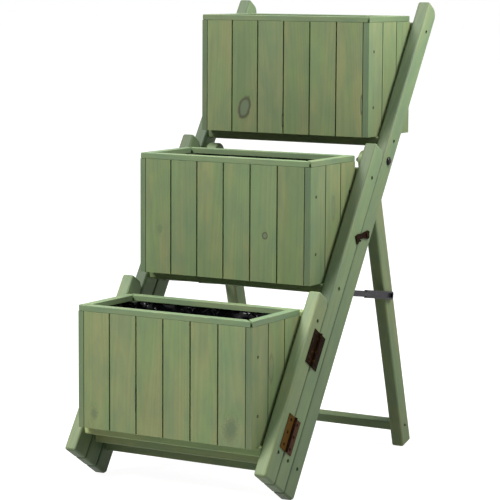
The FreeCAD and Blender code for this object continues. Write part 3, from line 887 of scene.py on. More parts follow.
    @staticmethod
    def edge_shade(graph: Graph, look: BoardLook) -> Tuple[Feed, Feed]:
        """How the stain changes at the boards' ends, edges and seams, on top of the boards' painted light and
        shade.

        Args:
            graph: The material's graph.
            look: How the boards are laid and stained.

        Returns:
            A factor for the colour, which starts from the boards' painted light and shade, and how far it
            leans towards the bluish tint.
        """
        facing_to = graph.turned("Normal", look.lay.turn)
        places = graph.turned("Object", look.lay.turn)
        across, _, along = look.lay.order
        # The boards' painted light and shade, which the ends and grooves then darken.
        factor: Feed = look.tone
        blueness: Feed = look.blueness
        if not look.lay.mitred:
            factor = abs(facing_to[along]).step(*ENDS, look.tone, look.tone * (1.0 - STAIN.end_grain))
        if look.lay is Lay.SIDE:
            blueness = abs(facing_to[across]).step(*ENDS, look.blueness, look.blueness + STAIN.edge_blue)
        depth, near, far = STAIN.groove
        for groove in look.grooves:
            factor = factor * abs(places[across] - groove).step(near, far, 1.0 - depth, 1.0)
        return factor, blueness

    def rim_axes(
        self, graph: Graph, axes: Dict[str, Wire], extent: Vector, seed: float
    ) -> Tuple[Wire, Wire, Wire]:
        """Tell the four mitred boards of a rim apart.

        Args:
            graph: The material's graph.
            axes: Places along X, Y and Z from the middle of the rim.
            extent: Size of the rim.
            seed: The node's seed.

        Returns:
            The places across and along the board, and its seed.
        """
        on_side = graph.math("LESS_THAN", extent.x / 2 - abs(axes["x"]), extent.y / 2 - abs(axes["y"]))
        across, along = (
            graph.wire("ShaderNodeMix", {0: on_side, 2: axes[first], 3: axes[second]}, data_type="FLOAT")
            for first, second in ("yx", "xy")
        )
        return across, along, graph.math("SIGN", across) * on_side.ramp(*self.rim_steps) + seed

    def stain(
        self,
        graph: Graph,
        figure: Dict[str, Wire],
        seed: Feed,
        spots: Sequence[Tuple[Dict[str, Wire], Knot]],
        blueness: Feed,
    ) -> Wire:
        """Lay the stain over the figure of the wood.

        Args:
            graph: The material's graph.
            figure: The figure, by its parts.
            seed: Seed of the board.
            spots: The parts of the knots.
            blueness: How far a board can lean towards the bluish tint.

        Returns:
            The colour.
        """
        tint, lightness, warmth = graph.random(graph.math("ADD", seed, self.tint_step))
        streak, mottle = figure["Streak"], figure["Mottle"]
        cold, hot, spread = STAIN.warm
        warm = figure["Cloud"] + warmth.about(spread)
        colour = graph.mix(warm.step(cold, hot), STAIN.green, STAIN.olive)
        colour = graph.mix(streak.step(*STAIN.streaks) * warm.step(*STAIN.rosy), colour, STAIN.pink)
        lean = tint.about(*STAIN.tint) + blueness + mottle.step(*STAIN.cool)
        colour = graph.mix(lean, colour, STAIN.blue)
        light = figure["Late"].ramp(STAIN.late[0], STAIN.late[1])
        for part, share in zip((figure["Fibre"], streak, lightness, mottle), STAIN.shares):
            light = light * part.about(share, 1.0)
        colour = graph.shade(colour, light)
        for spot, knot in spots:
            for name, share, paint in STAIN.soft_knot if knot.soft else STAIN.clear_knot:
                colour = graph.mix(spot[name] * (share * knot.depth), colour, paint)
        return colour


def clear_selection() -> None:
    """Leave edit mode and deselect everything."""
    if bpy.context.mode != "OBJECT":
        bpy.ops.object.mode_set(mode="OBJECT")
    bpy.ops.object.select_all(action="DESELECT")


def activate(piece: Piece) -> None:
    """Make one object the only selected and the active one.

    Args:
        piece: The object.
    """
    clear_selection()
    piece.select_set(True)
    bpy.context.view_layer.objects.active = piece


def link(piece: Piece) -> Piece:
    """Put an object into the scene."""
    bpy.context.scene.collection.objects.link(piece)
    return piece


def copy_of(master: Piece, name: str, place: Matrix) -> Piece:
    """Copy an object to another place.

    Args:
        master: The object.
        name: Name of the copy.
        place: Where it goes, from the object's place.

    Returns:
        The copy.
    """
    piece = master.copy()
    piece.name = name
    piece.data = master.data.copy()
    piece.data.transform(place)
    return link(piece)


def middle_of(node: str) -> Vector:
    """Middle of a node's box."""
    return sum(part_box(node), Vector()) / 2


def coat(piece: Piece, material: Material) -> None:
    """Give an object one material."""
    piece.data.materials.clear()
    piece.data.materials.append(material)


def modify(piece: Piece, name: str, kind: str, **settings: Any) -> bpy.types.Modifier:
    """Give an object a modifier.

    Args:
        piece: The object.
        name: Name of the modifier.
        kind: Its type.
        **settings: Its properties.

    Returns:
        The modifier.
    """
    modifier = piece.modifiers.new(name, kind)
    for key, value in settings.items():
        setattr(modifier, key, value)
    return modifier


def reshape(piece: Piece, name: str, kind: str, **settings: Any) -> None:
    """Give an object a modifier and apply it."""
    activate(piece)
    bpy.ops.object.modifier_apply(modifier=modify(piece, name, kind, **settings).name)


def ease_edges(piece: Piece, width: float) -> None:
    """Round the sharp edges of a node a little, without touching its own mesh.

    Args:
        piece: The node's object.
        width: Width of the rounding, in metres.
    """
    modify(piece, "weld", "WELD", merge_threshold=SAME_POINT)
    modify(piece, "merge_faces", "DECIMATE", decimate_type="DISSOLVE", angle_limit=ONE_FACE)
    modify(piece, "eased_edges", "BEVEL", width=width, segments=2, harden_normals=True, **ROUNDING)


def subtract(piece: Piece, tool: Piece) -> None:
    """Cut a tool's shape out of a piece and remove the tool."""
    reshape(piece, "cut", "BOOLEAN", operation="DIFFERENCE", solver="EXACT", object=tool)
    bpy.data.objects.remove(tool)


def dress_wood(paint: Paintbox, node: str, look: BoardLook) -> None:
    """Stain a node and ease its edges.

    Args:
        paint: The shared materials.
        node: Name of the node.
        look: How its boards are laid and stained.
    """
    piece = bpy.data.objects[node]
    coat(piece, paint.wood(node, look))
    ease_edges(piece, look.edge)
    LOG.info("%s: stained", node)


def facing(side: int, place: Vector, twist: float = 0.0) -> Matrix:
    """Matrix of a screw on the right (1) or left (-1) side, from its head's top and its own turn."""
    turn = Matrix.Rotation(0.0 if side > 0 else math.pi, 4, "Z")
    return Matrix.Translation(place) @ turn @ Matrix.Rotation(twist, 4, "X")


@dataclass
class CrossScrew:
    """A countersunk screw with a cross recess, modelled once and copied.

    Attributes:
        radius: Radius of the head.
        thick: Thickness of the head's rim.
        crown: How far the head's edge is rounded.
        recess: Half of the recess's length.
        shank: Length of the shank under the head.
        inset: Share of the head's radius that lies outside the shank.
        arm: Width of a recess's arm over the recess, and its depth over the head's.
        sides: Sides of the head.
        smooth: Angle under which its faces look smooth.
    """

    radius: float = 0.0034
    thick: float = 0.0024
    crown: float = 0.0007
    recess: float = 0.0021
    shank: float = 0.012
    inset: float = 0.45
    arm: Span = (0.42, 0.9)
    sides: int = 24
    smooth: float = math.radians(32)

    def model(self, name: str) -> Piece:
        """Model the screw at the origin, with its head's top at X = 0 and its shank towards -X.

        Args:
            name: Name of the piece.

        Returns:
            The screw.
        """
        clear_selection()
        bpy.ops.mesh.primitive_cylinder_add(
            vertices=self.sides, radius=self.radius, depth=self.thick, location=(0, 0, -self.thick / 2)
        )
        screw = bpy.context.object
        screw.name = name
        bpy.ops.object.transform_apply(location=True)
        bpy.ops.object.mode_set(mode="EDIT")
        self.pick_face(screw, 1)
        bpy.ops.mesh.bevel(offset=self.crown, segments=3, affect="EDGES")
        self.pick_face(screw, -1)
        bpy.ops.mesh.inset(thickness=self.radius * self.inset)
        bpy.ops.mesh.extrude_region_move(TRANSFORM_OT_translate={"value": (0, 0, -self.shank)})
        bpy.ops.object.mode_set(mode="OBJECT")
        for turn in (0.0, math.pi / 2):
            self.cut(screw, turn)
        activate(screw)
        bpy.ops.object.shade_smooth_by_angle(angle=self.smooth)
        screw.data.transform(Matrix.Rotation(math.pi / 2, 4, "Y"))
        return screw

    @staticmethod
    def pick_face(screw: Piece, side: int) -> None:
        """Select the end face that looks up or down.

        Args:
            screw: The screw, in edit mode.
            side: 1 for the upper face, -1 for the lower one.
        """
        bpy.ops.mesh.select_mode(type="FACE")
        bpy.ops.mesh.select_all(action="DESELECT")
        bpy.ops.object.mode_set(mode="OBJECT")
        ends = [face for face in screw.data.polygons if face.normal.z * side > 0.99]
        reach = max(face.center.z * side for face in ends)
        for face in ends:
            face.select = face.center.z * side > reach - 1e-6
        bpy.ops.object.mode_set(mode="EDIT")

    def cut(self, screw: Piece, turn: float) -> None:
        """Cut one arm of the recess.

        Args:
            screw: The screw.
            turn: Angle of the arm.
        """
        clear_selection()
        bpy.ops.mesh.primitive_cube_add(size=1, rotation=(0, 0, turn))
        tool = bpy.context.object
        tool.scale = (self.recess * 2, self.recess * self.arm[0], self.thick * self.arm[1])
        bpy.ops.object.transform_apply(rotation=True, scale=True)
        subtract(screw, tool)

    def spread(
        self, name: str, places: Sequence[Matrix], paint: Paintbox, finish: Lacquer, body: str, node: str = ""
    ) -> None:
        """Copy the screw to several places as one piece.

        Args:
            name: Name of the piece.
            places: Where each screw goes.
            paint: The shared materials.
            finish: Its finish.
            body: The body that it rides on.
            node: The node that it stands for, if any.
        """
        master = self.model(name)
        copies = [copy_of(master, name, place) for place in places]
        bpy.data.objects.remove(master)
        activate(copies[0])
        for copy in copies:
            copy.select_set(True)
        bpy.ops.object.join()
        piece = bpy.context.object
        piece.name = name
        coat(piece, paint.metal(finish))
        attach(piece, body)
        if node:
            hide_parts(node)
        LOG.info("%s: %d screws", name, len(places))


@dataclass(frozen=True)
class Fan:
    """Pleats that spread on the rear wall from a corner post, where the film is gathered.

    Attributes:
        side: 1 for the right post, -1 for the left one.
        leans: Angles of the pleats from the vertical, in degrees.
        length: Length of the pleats.
        width: Half of a pleat's width.
        height: How far a pleat stands off the wall.
        wall: How far from the rear wall it takes hold of the film.
    """

    side: int
    leans: Tuple[float, ...]
    length: float
    width: float
    height: float
    wall: float = 0.025


@dataclass
class FilmLiner:
    """The crumpled film in a planter box, modelled once and copied.

    Attributes:
        low: Lowest corner of the space that it lines.
        high: Highest corner of that space.
        post: How far the corner posts reach into that space.
        step: Size of its mesh.
        fewest: Smallest number of its mesh's steps along an edge.
        thick: Its thickness.
        slack: Share by which it is cut larger than the box.
        start: How far its points are off the box's walls at first.
        crumple: How finely those first places change.
        seed: Seed of those first places.
        frames: Steps of the simulation.
        gravity: Share of gravity that it feels.
        cloth: How stiff, heavy and damped it is.
        odd_place: A place that no two parts of the mesh are equally far from.
        smooth: Angle under which its faces look smooth.
        fans: The pleats at the rear posts.
        area: Its flat area, measured once it is modelled.
    """

    low: Vector
    high: Vector
    post: float
    step: float = 0.0065
    fewest: int = 4
    thick: float = 0.0002
    slack: float = 0.06
    start: float = 0.004
    crumple: float = 31.0
    seed: int = 11
    frames: int = 28
    gravity: float = 0.1
    cloth: Dict[str, float] = field(
        default_factory=lambda: {
            "quality": 5,
            "mass": 0.1,
            "tension_stiffness": 40,
            "compression_stiffness": 40,
            "shear_stiffness": 20,
            "bending_stiffness": 0.01,
            "air_damping": 4,
        }
    )
    odd_place: Tuple[float, float, float] = (-0.7313, -1.2137, -0.3771)
    smooth: float = math.radians(50)
    fans: Tuple[Fan, ...] = (
        Fan(-1, (5.0, 30.0, 47.0, 61.0), 0.09, 0.005, 0.003),
        Fan(1, (32.0, 58.0, 80.0), 0.055, 0.008, 0.005),
    )
    area: float = 0.0

    @property
    def size(self) -> Vector:
        """Size of the space that it lines."""
        return self.high - self.low

    @property
    def centre(self) -> Vector:
        """Middle of that space."""
        return (self.low + self.high) / 2

    @property
    def flat(self) -> Span:
        """Width and length that it is cut to."""
        grow = 1.0 + self.slack
        return (self.size.x + 2 * self.size.z) * grow, (self.size.y + 2 * self.size.z) * grow

    def from_corner(self, spot: Vector) -> Span:
        """How far a place is from the nearest walls, along X and along Y."""
        away = spot - self.centre
        return self.size.x / 2 - abs(away.x), self.size.y / 2 - abs(away.y)

    def model(self, name: str) -> Piece:
        """Model the film.

        Args:
            name: Name of the piece.

        Returns:
            The film.
        """
        film = self.tray(name)
        self.settle(film)
        self.keep_inside(film)
        reshape(film, "film_smooth", "SUBSURF", levels=1, render_levels=1)
        self.gather(film)
        self.keep_inside(film)
        self.area = sum(face.area for face in film.data.polygons)
        reshape(film, "film_thickness", "SOLIDIFY", thickness=self.thick, offset=1.0)
        bpy.ops.object.shade_smooth_by_angle(angle=self.smooth)
        return film

    def tray(self, name: str) -> Piece:
        """Model a plain tray that goes round the corner posts.

        Args:
            name: Name of the piece.

        Returns:
            The tray.
        """
        size = self.size
        cells = [max(self.fewest, round(extent / self.step)) for extent in size]
        clear_selection()
        bpy.ops.mesh.primitive_grid_add(
            x_subdivisions=cells[0], y_subdivisions=cells[1], size=1, location=(*self.centre.xy, self.low.z)
        )
        film = bpy.context.object
        film.name = name
        film.scale = (size.x, size.y, 1.0)
        bpy.ops.object.transform_apply(location=True, scale=True)
        for face in film.data.polygons:
            face.select = max(self.from_corner(face.center)) < self.post
        bpy.context.tool_settings.mesh_select_mode = (False, False, True)
        bpy.ops.object.mode_set(mode="EDIT")
        bpy.ops.mesh.delete(type="FACE")
        bpy.ops.mesh.select_all(action="SELECT")
        bpy.ops.mesh.region_to_loop()
        for _ in range(cells[2]):
            bpy.ops.mesh.extrude_edges_move(TRANSFORM_OT_translate={"value": (0, 0, size.z / cells[2])})
        bpy.ops.mesh.select_all(action="SELECT")
        bpy.ops.mesh.normals_make_consistent(inside=True)
        self.put_in_order(film)
        return film

    def put_in_order(self, film: Piece) -> None:
        """Put the mesh in a fixed order, so that every run folds it alike, and leave edit mode.

        Args:
            film: The film, in edit mode with all of it selected.
        """
        bpy.context.scene.cursor.location = self.odd_place
        bpy.ops.mesh.sort_elements(type="CURSOR_DISTANCE", elements={"VERT", "EDGE", "FACE"})
        bpy.context.scene.cursor.location = Vector()
        bpy.ops.object.mode_set(mode="OBJECT")
        for edge in film.data.edges:
            edge.vertices = sorted(edge.vertices)

    def settle(self, film: Piece) -> None:
        """Let the film, which is larger than the box, fold itself below its stapled edge.

        Args:
            film: The film.
        """
        edge = {vertex.index for vertex in film.data.vertices if vertex.co.z > self.high.z - 1e-4}
        staples = film.vertex_groups.new(name="staples")
        staples.add(sorted(edge), 1.0, "REPLACE")
        noise.seed_set(self.seed)
        for vertex in film.data.vertices:
            push = noise.noise_vector(vertex.co * self.crumple) * self.start
            if vertex.index in edge:
                push.z = 0.0
            vertex.co += push
        activate(film)
        fold = modify(film, "film_folds", "CLOTH")
        for key, value in self.cloth.items():
            setattr(fold.settings, key, value)
        fold.settings.shrink_min = -self.slack
        fold.settings.vertex_group_mass = staples.name
        fold.settings.effector_weights.gravity = self.gravity
        fold.collision_settings.use_collision = False
        fold.point_cache.frame_end = self.frames
        for frame in range(1, self.frames + 1):
            bpy.context.scene.frame_set(frame)
        bpy.ops.object.modifier_apply(modifier=fold.name)
        bpy.context.scene.frame_set(1)

    def gather(self, film: Piece) -> None:
        """Raise the pleats that spread from the rear posts.

        Args:
            film: The film.
        """
        for fan in self.fans:
            x = self.high.x - self.post if fan.side > 0 else self.low.x + self.post
            start = Vector((x, self.high.y, self.high.z))
            for lean in map(math.radians, fan.leans):
                way = Vector((-fan.side * math.sin(lean), 0.0, -math.cos(lean)))
                self.pleat(film, start, way, fan)

    @staticmethod
    def pleat(film: Piece, start: Vector, way: Vector, fan: Fan) -> None:
        """Raise one pleat on the rear wall.

        Args:
            film: The film.
            start: Where the pleat starts.
            way: The way that it runs.
            fan: Sizes of the pleat.
        """
        for vertex in film.data.vertices:
            away = vertex.co - start
            run = away.dot(way)
            off = (Vector((away.x, 0.0, away.z)) - way * run).length
            if 0.0 < run < fan.length and off < fan.width and away.y > -fan.wall:
                vertex.co.y -= fan.height * (1.0 - off / fan.width) * math.sqrt(1.0 - run / fan.length)

    def keep_inside(self, film: Piece) -> None:
        """Press the film's points back against the walls, the base and the corner posts.

        Args:
            film: The film.
        """
        for vertex in film.data.vertices:
            spot = vertex.co
            for axis in range(3):
                spot[axis] = min(max(spot[axis], self.low[axis]), self.high[axis])
            corner = self.from_corner(spot)
            if max(corner) < self.post:
                axis = 0 if corner[0] > corner[1] else 1
                reach = self.size[axis] / 2 - self.post
                spot[axis] = self.centre[axis] + math.copysign(reach, spot[axis] - self.centre[axis])


@dataclass
class FilmLiners:
    """The films in the three boxes.

    Attributes:
        paint: The shared materials.
        gap: Room between a film and the space of its node.
        post_side: Thickness of the corner posts.
        post_gap: Room between the film and a corner post.
        films: The films, once they are built.
    """

    paint: Paintbox
    gap: float = 0.0016
    post_side: float = 0.02
    post_gap: float = 0.004
    films: List[Piece] = field(default_factory=list)

    def space(self, tier: Tier) -> Tuple[Vector, Vector]:
        """Lowest and highest corner of the space that a film lines."""
        low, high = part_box(f"{tier.value}_liner")
        return low + Vector((self.gap, self.gap, self.gap)), high - Vector((self.gap, self.gap, 0.0))

    def build(self) -> None:
        """Model the film in the lowest box and copy it into the others, turned in the middle one."""
        low, high = self.space(Tier.LOWER)
        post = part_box(f"{Tier.LOWER.value}_corner_posts")[0].x + self.post_side + self.post_gap - low.x
        liner = FilmLiner(low, high, post)
        master = liner.model("film")
        for number, tier in enumerate(Tier):
            middle = sum(self.space(tier), Vector()) / 2
            turn = Matrix.Rotation(math.pi * (number % 2), 4, "Z")
            place = Matrix.Translation(middle) @ turn @ Matrix.Translation(-liner.centre)
            film = copy_of(master, f"{tier.value}_film", place)
            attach(film, ROOT_BODY)
            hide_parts(f"{tier.value}_liner")
            self.films.append(film)
            LOG.info("%s: cut to %.3f by %.3f m", film.name, *liner.flat)
        bpy.data.objects.remove(master)

    def dress(self) -> None:
        """Give the films their material."""
        for film in self.films:
            coat(film, self.paint.film(FILM))


@dataclass
class PlanterBox:
    """One clad box with its rim, posts and base.

    Attributes:
        tier: Which box it is.
        paint: The shared materials.
        screw_set: Distance of the side screws from the box's front and back.
        screw_drops: Distances of the side screws below the rim's top.
        screw_proud: How far the screws stand out of the boards.
        twists: How far the screws' turns differ, from screw to screw and for each metre.
        board_edge: Width of the boards' eased edges.
        fade: Painted light: how much lighter the boards are painted in each metre upwards.
        post_painted_shade: Painted shade of the corner posts: how dark they are painted, standing in for the
            shade inside the box.
        rim_edge: Width of the rim's eased edges.
        rim_blue: How far the rim leans towards the bluish tint.
    """

    tier: Tier
    paint: Paintbox
    screw_set: float = 0.024
    screw_drops: Span = (0.073, 0.190)
    screw_proud: float = 0.0003
    twists: Span = (0.7, 40.0)
    board_edge: float = 0.0003
    fade: float = 0.45
    post_painted_shade: float = 0.14
    rim_edge: float = 0.0012
    rim_blue: float = 0.75

    def node(self, word: str) -> str:
        """Full name of one of the box's nodes."""
        return f"{self.tier.value}_{word}"

    def build(self) -> None:
        """Put two screws into each corner post through the side boards."""
        low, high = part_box(self.node("side_boards"))
        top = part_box(self.node("rim_boards"))[1].z
        places = []
        for side, x in ((1, high.x), (-1, low.x)):
            for y in (low.y + self.screw_set, high.y - self.screw_set):
                for number, drop in enumerate(self.screw_drops):
                    spot = Vector((x + side * self.screw_proud, y, top - drop))
                    places.append(facing(side, spot, self.twists[0] * number + self.twists[1] * y))
        CrossScrew().spread(self.node("side_screws"), places, self.paint, SCREW_STEEL, ROOT_BODY)

    def dress(self) -> None:
        """Stain the boards, paint the box's light or shade into them and ease their edges."""
        plain = {"fade": self.fade, "edge": self.board_edge}
        looks = {
            "front_boards": BoardLook(Lay.FRONT, FRONT_SLATS, FRONT_KNOTS[self.tier], **plain),
            "back_boards": BoardLook(Lay.FRONT, FRONT_SLATS, **plain),
            "side_boards": BoardLook(Lay.SIDE, SIDE_SLATS, SIDE_KNOTS[self.tier], **plain),
            "rim_boards": BoardLook(Lay.RIM, blueness=self.rim_blue, edge=self.rim_edge),
            # Painted shade: the corner posts are painted dark, standing in for the shade inside the box.
            "corner_posts": BoardLook(Lay.FRONT, tone=self.post_painted_shade, edge=self.board_edge),
            "base_boards": BoardLook(Lay.FLOOR, SIDE_SLATS, edge=self.board_edge),
        }
        for word, look in looks.items():
            # Each box's boards are painted lighter or darker as a whole, standing in for the light on their
            # tier.
            dress_wood(self.paint, self.node(word), replace(look, tone=look.tone * BOX_PAINTED_SHADING[self.tier]))


@dataclass
class RoundedBoard:
    """A rail or leg with well rounded edges, which stands for its node.

    Attributes:
        node: Name of the node.
        body: The body that it rides on.
        edge: Radius of its edges.
        steps: Steps of the rounding.
        hole_radius: Radius of the wells over its screws, and of a bore that turns on a bolt.
        hole_sides: Sides of those.
        well_depth: Depth of the wells.
    """

    node: str
    body: str
    edge: float = 0.005
    steps: int = 4
    hole_radius: float = 0.0042
    hole_sides: int = 24
    well_depth: float = 0.005

    def build(self, face: float, wells: Sequence[Vector], bores: Sequence[Vector] = ()) -> Piece:
        """Shape the board.

        Args:
            face: Where its outer side lies along X.
            wells: Middles of the screws.
            bores: Middles of the bolts that it turns on.

        Returns:
            The board.
        """
        board = link(bpy.data.objects.new(f"{self.node}_board", bpy.data.objects[self.node].data.copy()))
        activate(board)
        bpy.ops.object.mode_set(mode="EDIT")
        bpy.ops.mesh.select_all(action="SELECT")
        bpy.ops.mesh.remove_doubles(threshold=SAME_POINT)
        bpy.ops.mesh.convex_hull(use_existing_faces=False)
        bpy.ops.mesh.dissolve_limited(angle_limit=ONE_FACE)
        bpy.ops.mesh.normals_make_consistent(inside=False)
        bpy.ops.object.mode_set(mode="OBJECT")
        reshape(board, "rounded_edges", "BEVEL", width=self.edge, segments=self.steps, **ROUNDING)
        for middle in wells:
            self.sink(board, Vector((face, middle.y, middle.z)), self.well_depth)
        for middle in bores:
            self.sink(board, Vector((face, middle.y, middle.z)), board.dimensions.x * 2)
        activate(board)
        bpy.ops.object.shade_smooth_by_angle(angle=SHARP_EDGE)
        reshape(board, "flat_sides", "WEIGHTED_NORMAL", weight=100, keep_sharp=True)
        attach(board, self.body)
        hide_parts(self.node)
        LOG.info("%s: %d wells", board.name, len(wells))
        return board

    def sink(self, board: Piece, spot: Vector, depth: float) -> None:
        """Sink a round hole into the board's outer side.

        Args:
            board: The board.
            spot: Middle of the hole on that side.
            depth: Its depth.
        """
        clear_selection()
        bpy.ops.mesh.primitive_cylinder_add(
            vertices=self.hole_sides,
            radius=self.hole_radius,
            depth=2 * depth,
            location=spot,
            rotation=(0.0, math.pi / 2, 0.0),
        )
        tool = bpy.context.object
        bpy.ops.object.transform_apply(location=True, rotation=True)
        subtract(board, tool)


@dataclass
class RailFrame:
    """The sloping rails, the cross bars between them and their sunk screws.

    Attributes:
        paint: The shared materials.
        rail_depth: Depth of a rail, from seam to seam.
        rail_blue: How far the rails lean towards the bluish tint.
        rail_painted_fade: Painted light: how much lighter the rails are painted in each metre upwards.
        twist: How far the screws' turns differ from bar to bar.
        bar_edge: Width of the bars' rounded edges.
        bar_painted_shading: Painted light and shade of the bars: how much lighter or darker each is painted,
            standing in for the light and the shade under the boxes.
        rails: The rails, once they are built.
    """

    paint: Paintbox
    rail_depth: float = 0.045
    rail_blue: float = 0.68
    rail_painted_fade: float = 0.25
    twist: float = 0.9
    bar_edge: float = 0.004
    # Painted light and shade: the bars under the lower box and the middle box's low bar are painted lighter,
    # the bars in the shade of the upper boxes darker.
    bar_painted_shading: Dict[Tier, Dict[str, float]] = field(
        default_factory=lambda: {
            Tier.LOWER: {"seat": 2.0, "back": 2.0},
            Tier.MIDDLE: {"seat": 0.75, "back": 0.75, "low": 1.5},
            Tier.UPPER: {"seat": 0.7, "back": 0.7, "low": 0.95},
        }
    )
    rails: Dict[str, Piece] = field(default_factory=dict)

    def build(self) -> None:
        """Shape the rails, and model the screws at the ends of the bars."""
        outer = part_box("lower_right_rail")[1].x
        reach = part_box("rail_screws")[1].x
        places = []
        for tier, bar_shading in self.bar_painted_shading.items():
            middles = [middle_of(f"{tier.value}_{kind}_bar") for kind in bar_shading]
            for name, side in SIDES.items():
                node = f"{tier.value}_{name}_rail"
                self.rails[node] = RoundedBoard(node, ROOT_BODY).build(side * outer, middles)
            for middle in middles:
                turn = self.twist * (len(places) // 2)
                for side in SIDES.values():
                    places.append(facing(side, Vector((side * reach, middle.y, middle.z)), turn + side))
        CrossScrew().spread("rail_screw_set", places, self.paint, SCREW_STEEL, ROOT_BODY, "rail_screws")

    def dress(self) -> None:
        """Stain the rails and bars, with painted light and shade on the bars; the hinges' pins lie over the
        first seam between the rails.
        """
        first = middle_of("hinge_pins").dot(ACROSS_RAIL)
        second = first + self.rail_depth
        seams = {Tier.LOWER: (first,), Tier.MIDDLE: (first, second), Tier.UPPER: (second,)}
        for tier, grooves in seams.items():
            look = BoardLook(Lay.RAIL, grooves=grooves, fade=self.rail_painted_fade, blueness=self.rail_blue)
            for side in SIDES:
                node = f"{tier.value}_{side}_rail"
                coat(self.rails[node], self.paint.wood(node, look))
        # Painted light and shade on each bar.
        for tier, bar_shading in self.bar_painted_shading.items():
            for kind, tone in bar_shading.items():
                look = BoardLook(Lay.CROSS, tone=tone, edge=self.bar_edge)
                dress_wood(self.paint, f"{tier.value}_{kind}_bar", look)


@dataclass
class RearLegs:
    """The folding rear legs with their bar and bolts.

    Attributes:
        paint: The shared materials.
        bar_edge: Width of the bar's eased edges.
        leg_blue: How far the legs lean towards the bluish tint.
        twist: Turn of the screws.
        legs: The legs, once they are built.
    """

    paint: Paintbox
    bar_edge: float = 0.0015
    leg_blue: float = 0.32
    twist: float = 0.4
    legs: Dict[str, Piece] = field(default_factory=dict)

    def build(self) -> None:
        """Shape the legs, and model the screws at the ends of their bar."""
        middle, pivot = middle_of("leg_screws"), middle_of("pivot_bolts")
        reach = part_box("leg_screws")[1].x
        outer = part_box("right_rear_leg")[1].x
        places = []
        for name, side in SIDES.items():
            node = f"{name}_rear_leg"
            self.legs[node] = RoundedBoard(node, LEG_BODY).build(side * outer, [middle], [pivot])
            places.append(facing(side, Vector((side * reach, middle.y, middle.z)), self.twist * side))
        CrossScrew().spread("leg_screw_set", places, self.paint, SCREW_STEEL, LEG_BODY, "leg_screws")

    def dress(self) -> None:
        """Stain the legs and coat their bolts."""
        for node, leg in self.legs.items():
            coat(leg, self.paint.wood(node, BoardLook(Lay.LEG, blueness=self.leg_blue)))
        dress_wood(self.paint, "rear_leg_bar", BoardLook(Lay.LEG_BAR, edge=self.bar_edge))
        for node, finish in (("pivot_bolts", BOLT_STEEL), ("pivot_spacers", ZINC), ("pivot_nuts", ZINC)):
            coat(bpy.data.objects[node], self.paint.metal(finish))
            LOG.info("%s: %s", node, finish.name)


@dataclass
class Fittings:
    """Butt hinges, swing hooks and sliding stays.

    Attributes:
        paint: The shared materials.
        hinge_length: Length of a hinge.
        pin_radius: Radius of its pin.
        leaf_thick: Thickness of its leaves, with the gap under them.
        leaf_middle: Distance of a leaf's screws from the pin.
        screw_steps: Places of the screws along a leaf.
        screw_proud: How far the screws stand out of the leaves.
        twist: How far the screws' turns differ, for each metre.
        hook_edge: Width of the hooks' eased edges.
    """

    paint: Paintbox
    hinge_length: float = 0.072
    pin_radius: float = 0.0015
    leaf_thick: float = 0.0016
    leaf_middle: float = 0.0143
    screw_steps: Tuple[float, ...] = (-0.026, 0.0, 0.026)
    screw_proud: float = 0.0004
    twist: float = 30.0
    hook_edge: float = 0.0004

    def hinge_middles(self) -> Tuple[Vector, Vector]:
        """Find the hinges on the right side.

        Returns:
            Middles of the upper and the lower hinge's pin.
        """
        low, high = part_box("hinge_pins")
        inset = Vector((0.0, math.cos(RAIL_LEAN), math.sin(RAIL_LEAN))) * self.pin_radius
        inset += UP_RAIL * self.hinge_length / 2
        return high - inset, low + inset

    def build(self) -> None:
        """Model the screws of the hinges' leaves."""
        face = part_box("lower_right_rail")[1].x + self.leaf_thick + self.screw_proud
        places = []
        for middle in self.hinge_middles():
            for step in self.screw_steps:
                for leaf in (1, -1):
                    spot = middle + UP_RAIL * step + ACROSS_RAIL * leaf * self.leaf_middle
                    for side in (1, -1):
                        place = Vector((side * face, spot.y, spot.z))
                        places.append(facing(side, place, self.twist * step + leaf))
        screw = CrossScrew(radius=0.0032, thick=0.0012, crown=0.0004, recess=0.0018, shank=0.004)
        screw.spread("hinge_screws", places, self.paint, ANTIQUE, ROOT_BODY)

    def dress(self) -> None:
        """Coat the metal fittings."""
        hooks = [f"{side}_hook" for side in SIDES]
        stays = [f"{side}_stay_{part}" for part in ("channel", "slide") for side in SIDES]
        finishes = {
            WORN_FRONT: ["hinge_front_leaves"],
            WORN_REAR: ["hinge_rear_leaves"],
            ANTIQUE: ["hinge_pins", *hooks, "hook_pins", "hook_studs"],
            DARK_STEEL: [*stays, "stay_front_pins", "stay_rear_pins"],
        }
        for finish, nodes in finishes.items():
            for node in nodes:
                coat(bpy.data.objects[node], self.paint.metal(finish))
                LOG.info("%s: %s", node, finish.name)
        for node in hooks:
            ease_edges(bpy.data.objects[node], self.hook_edge)


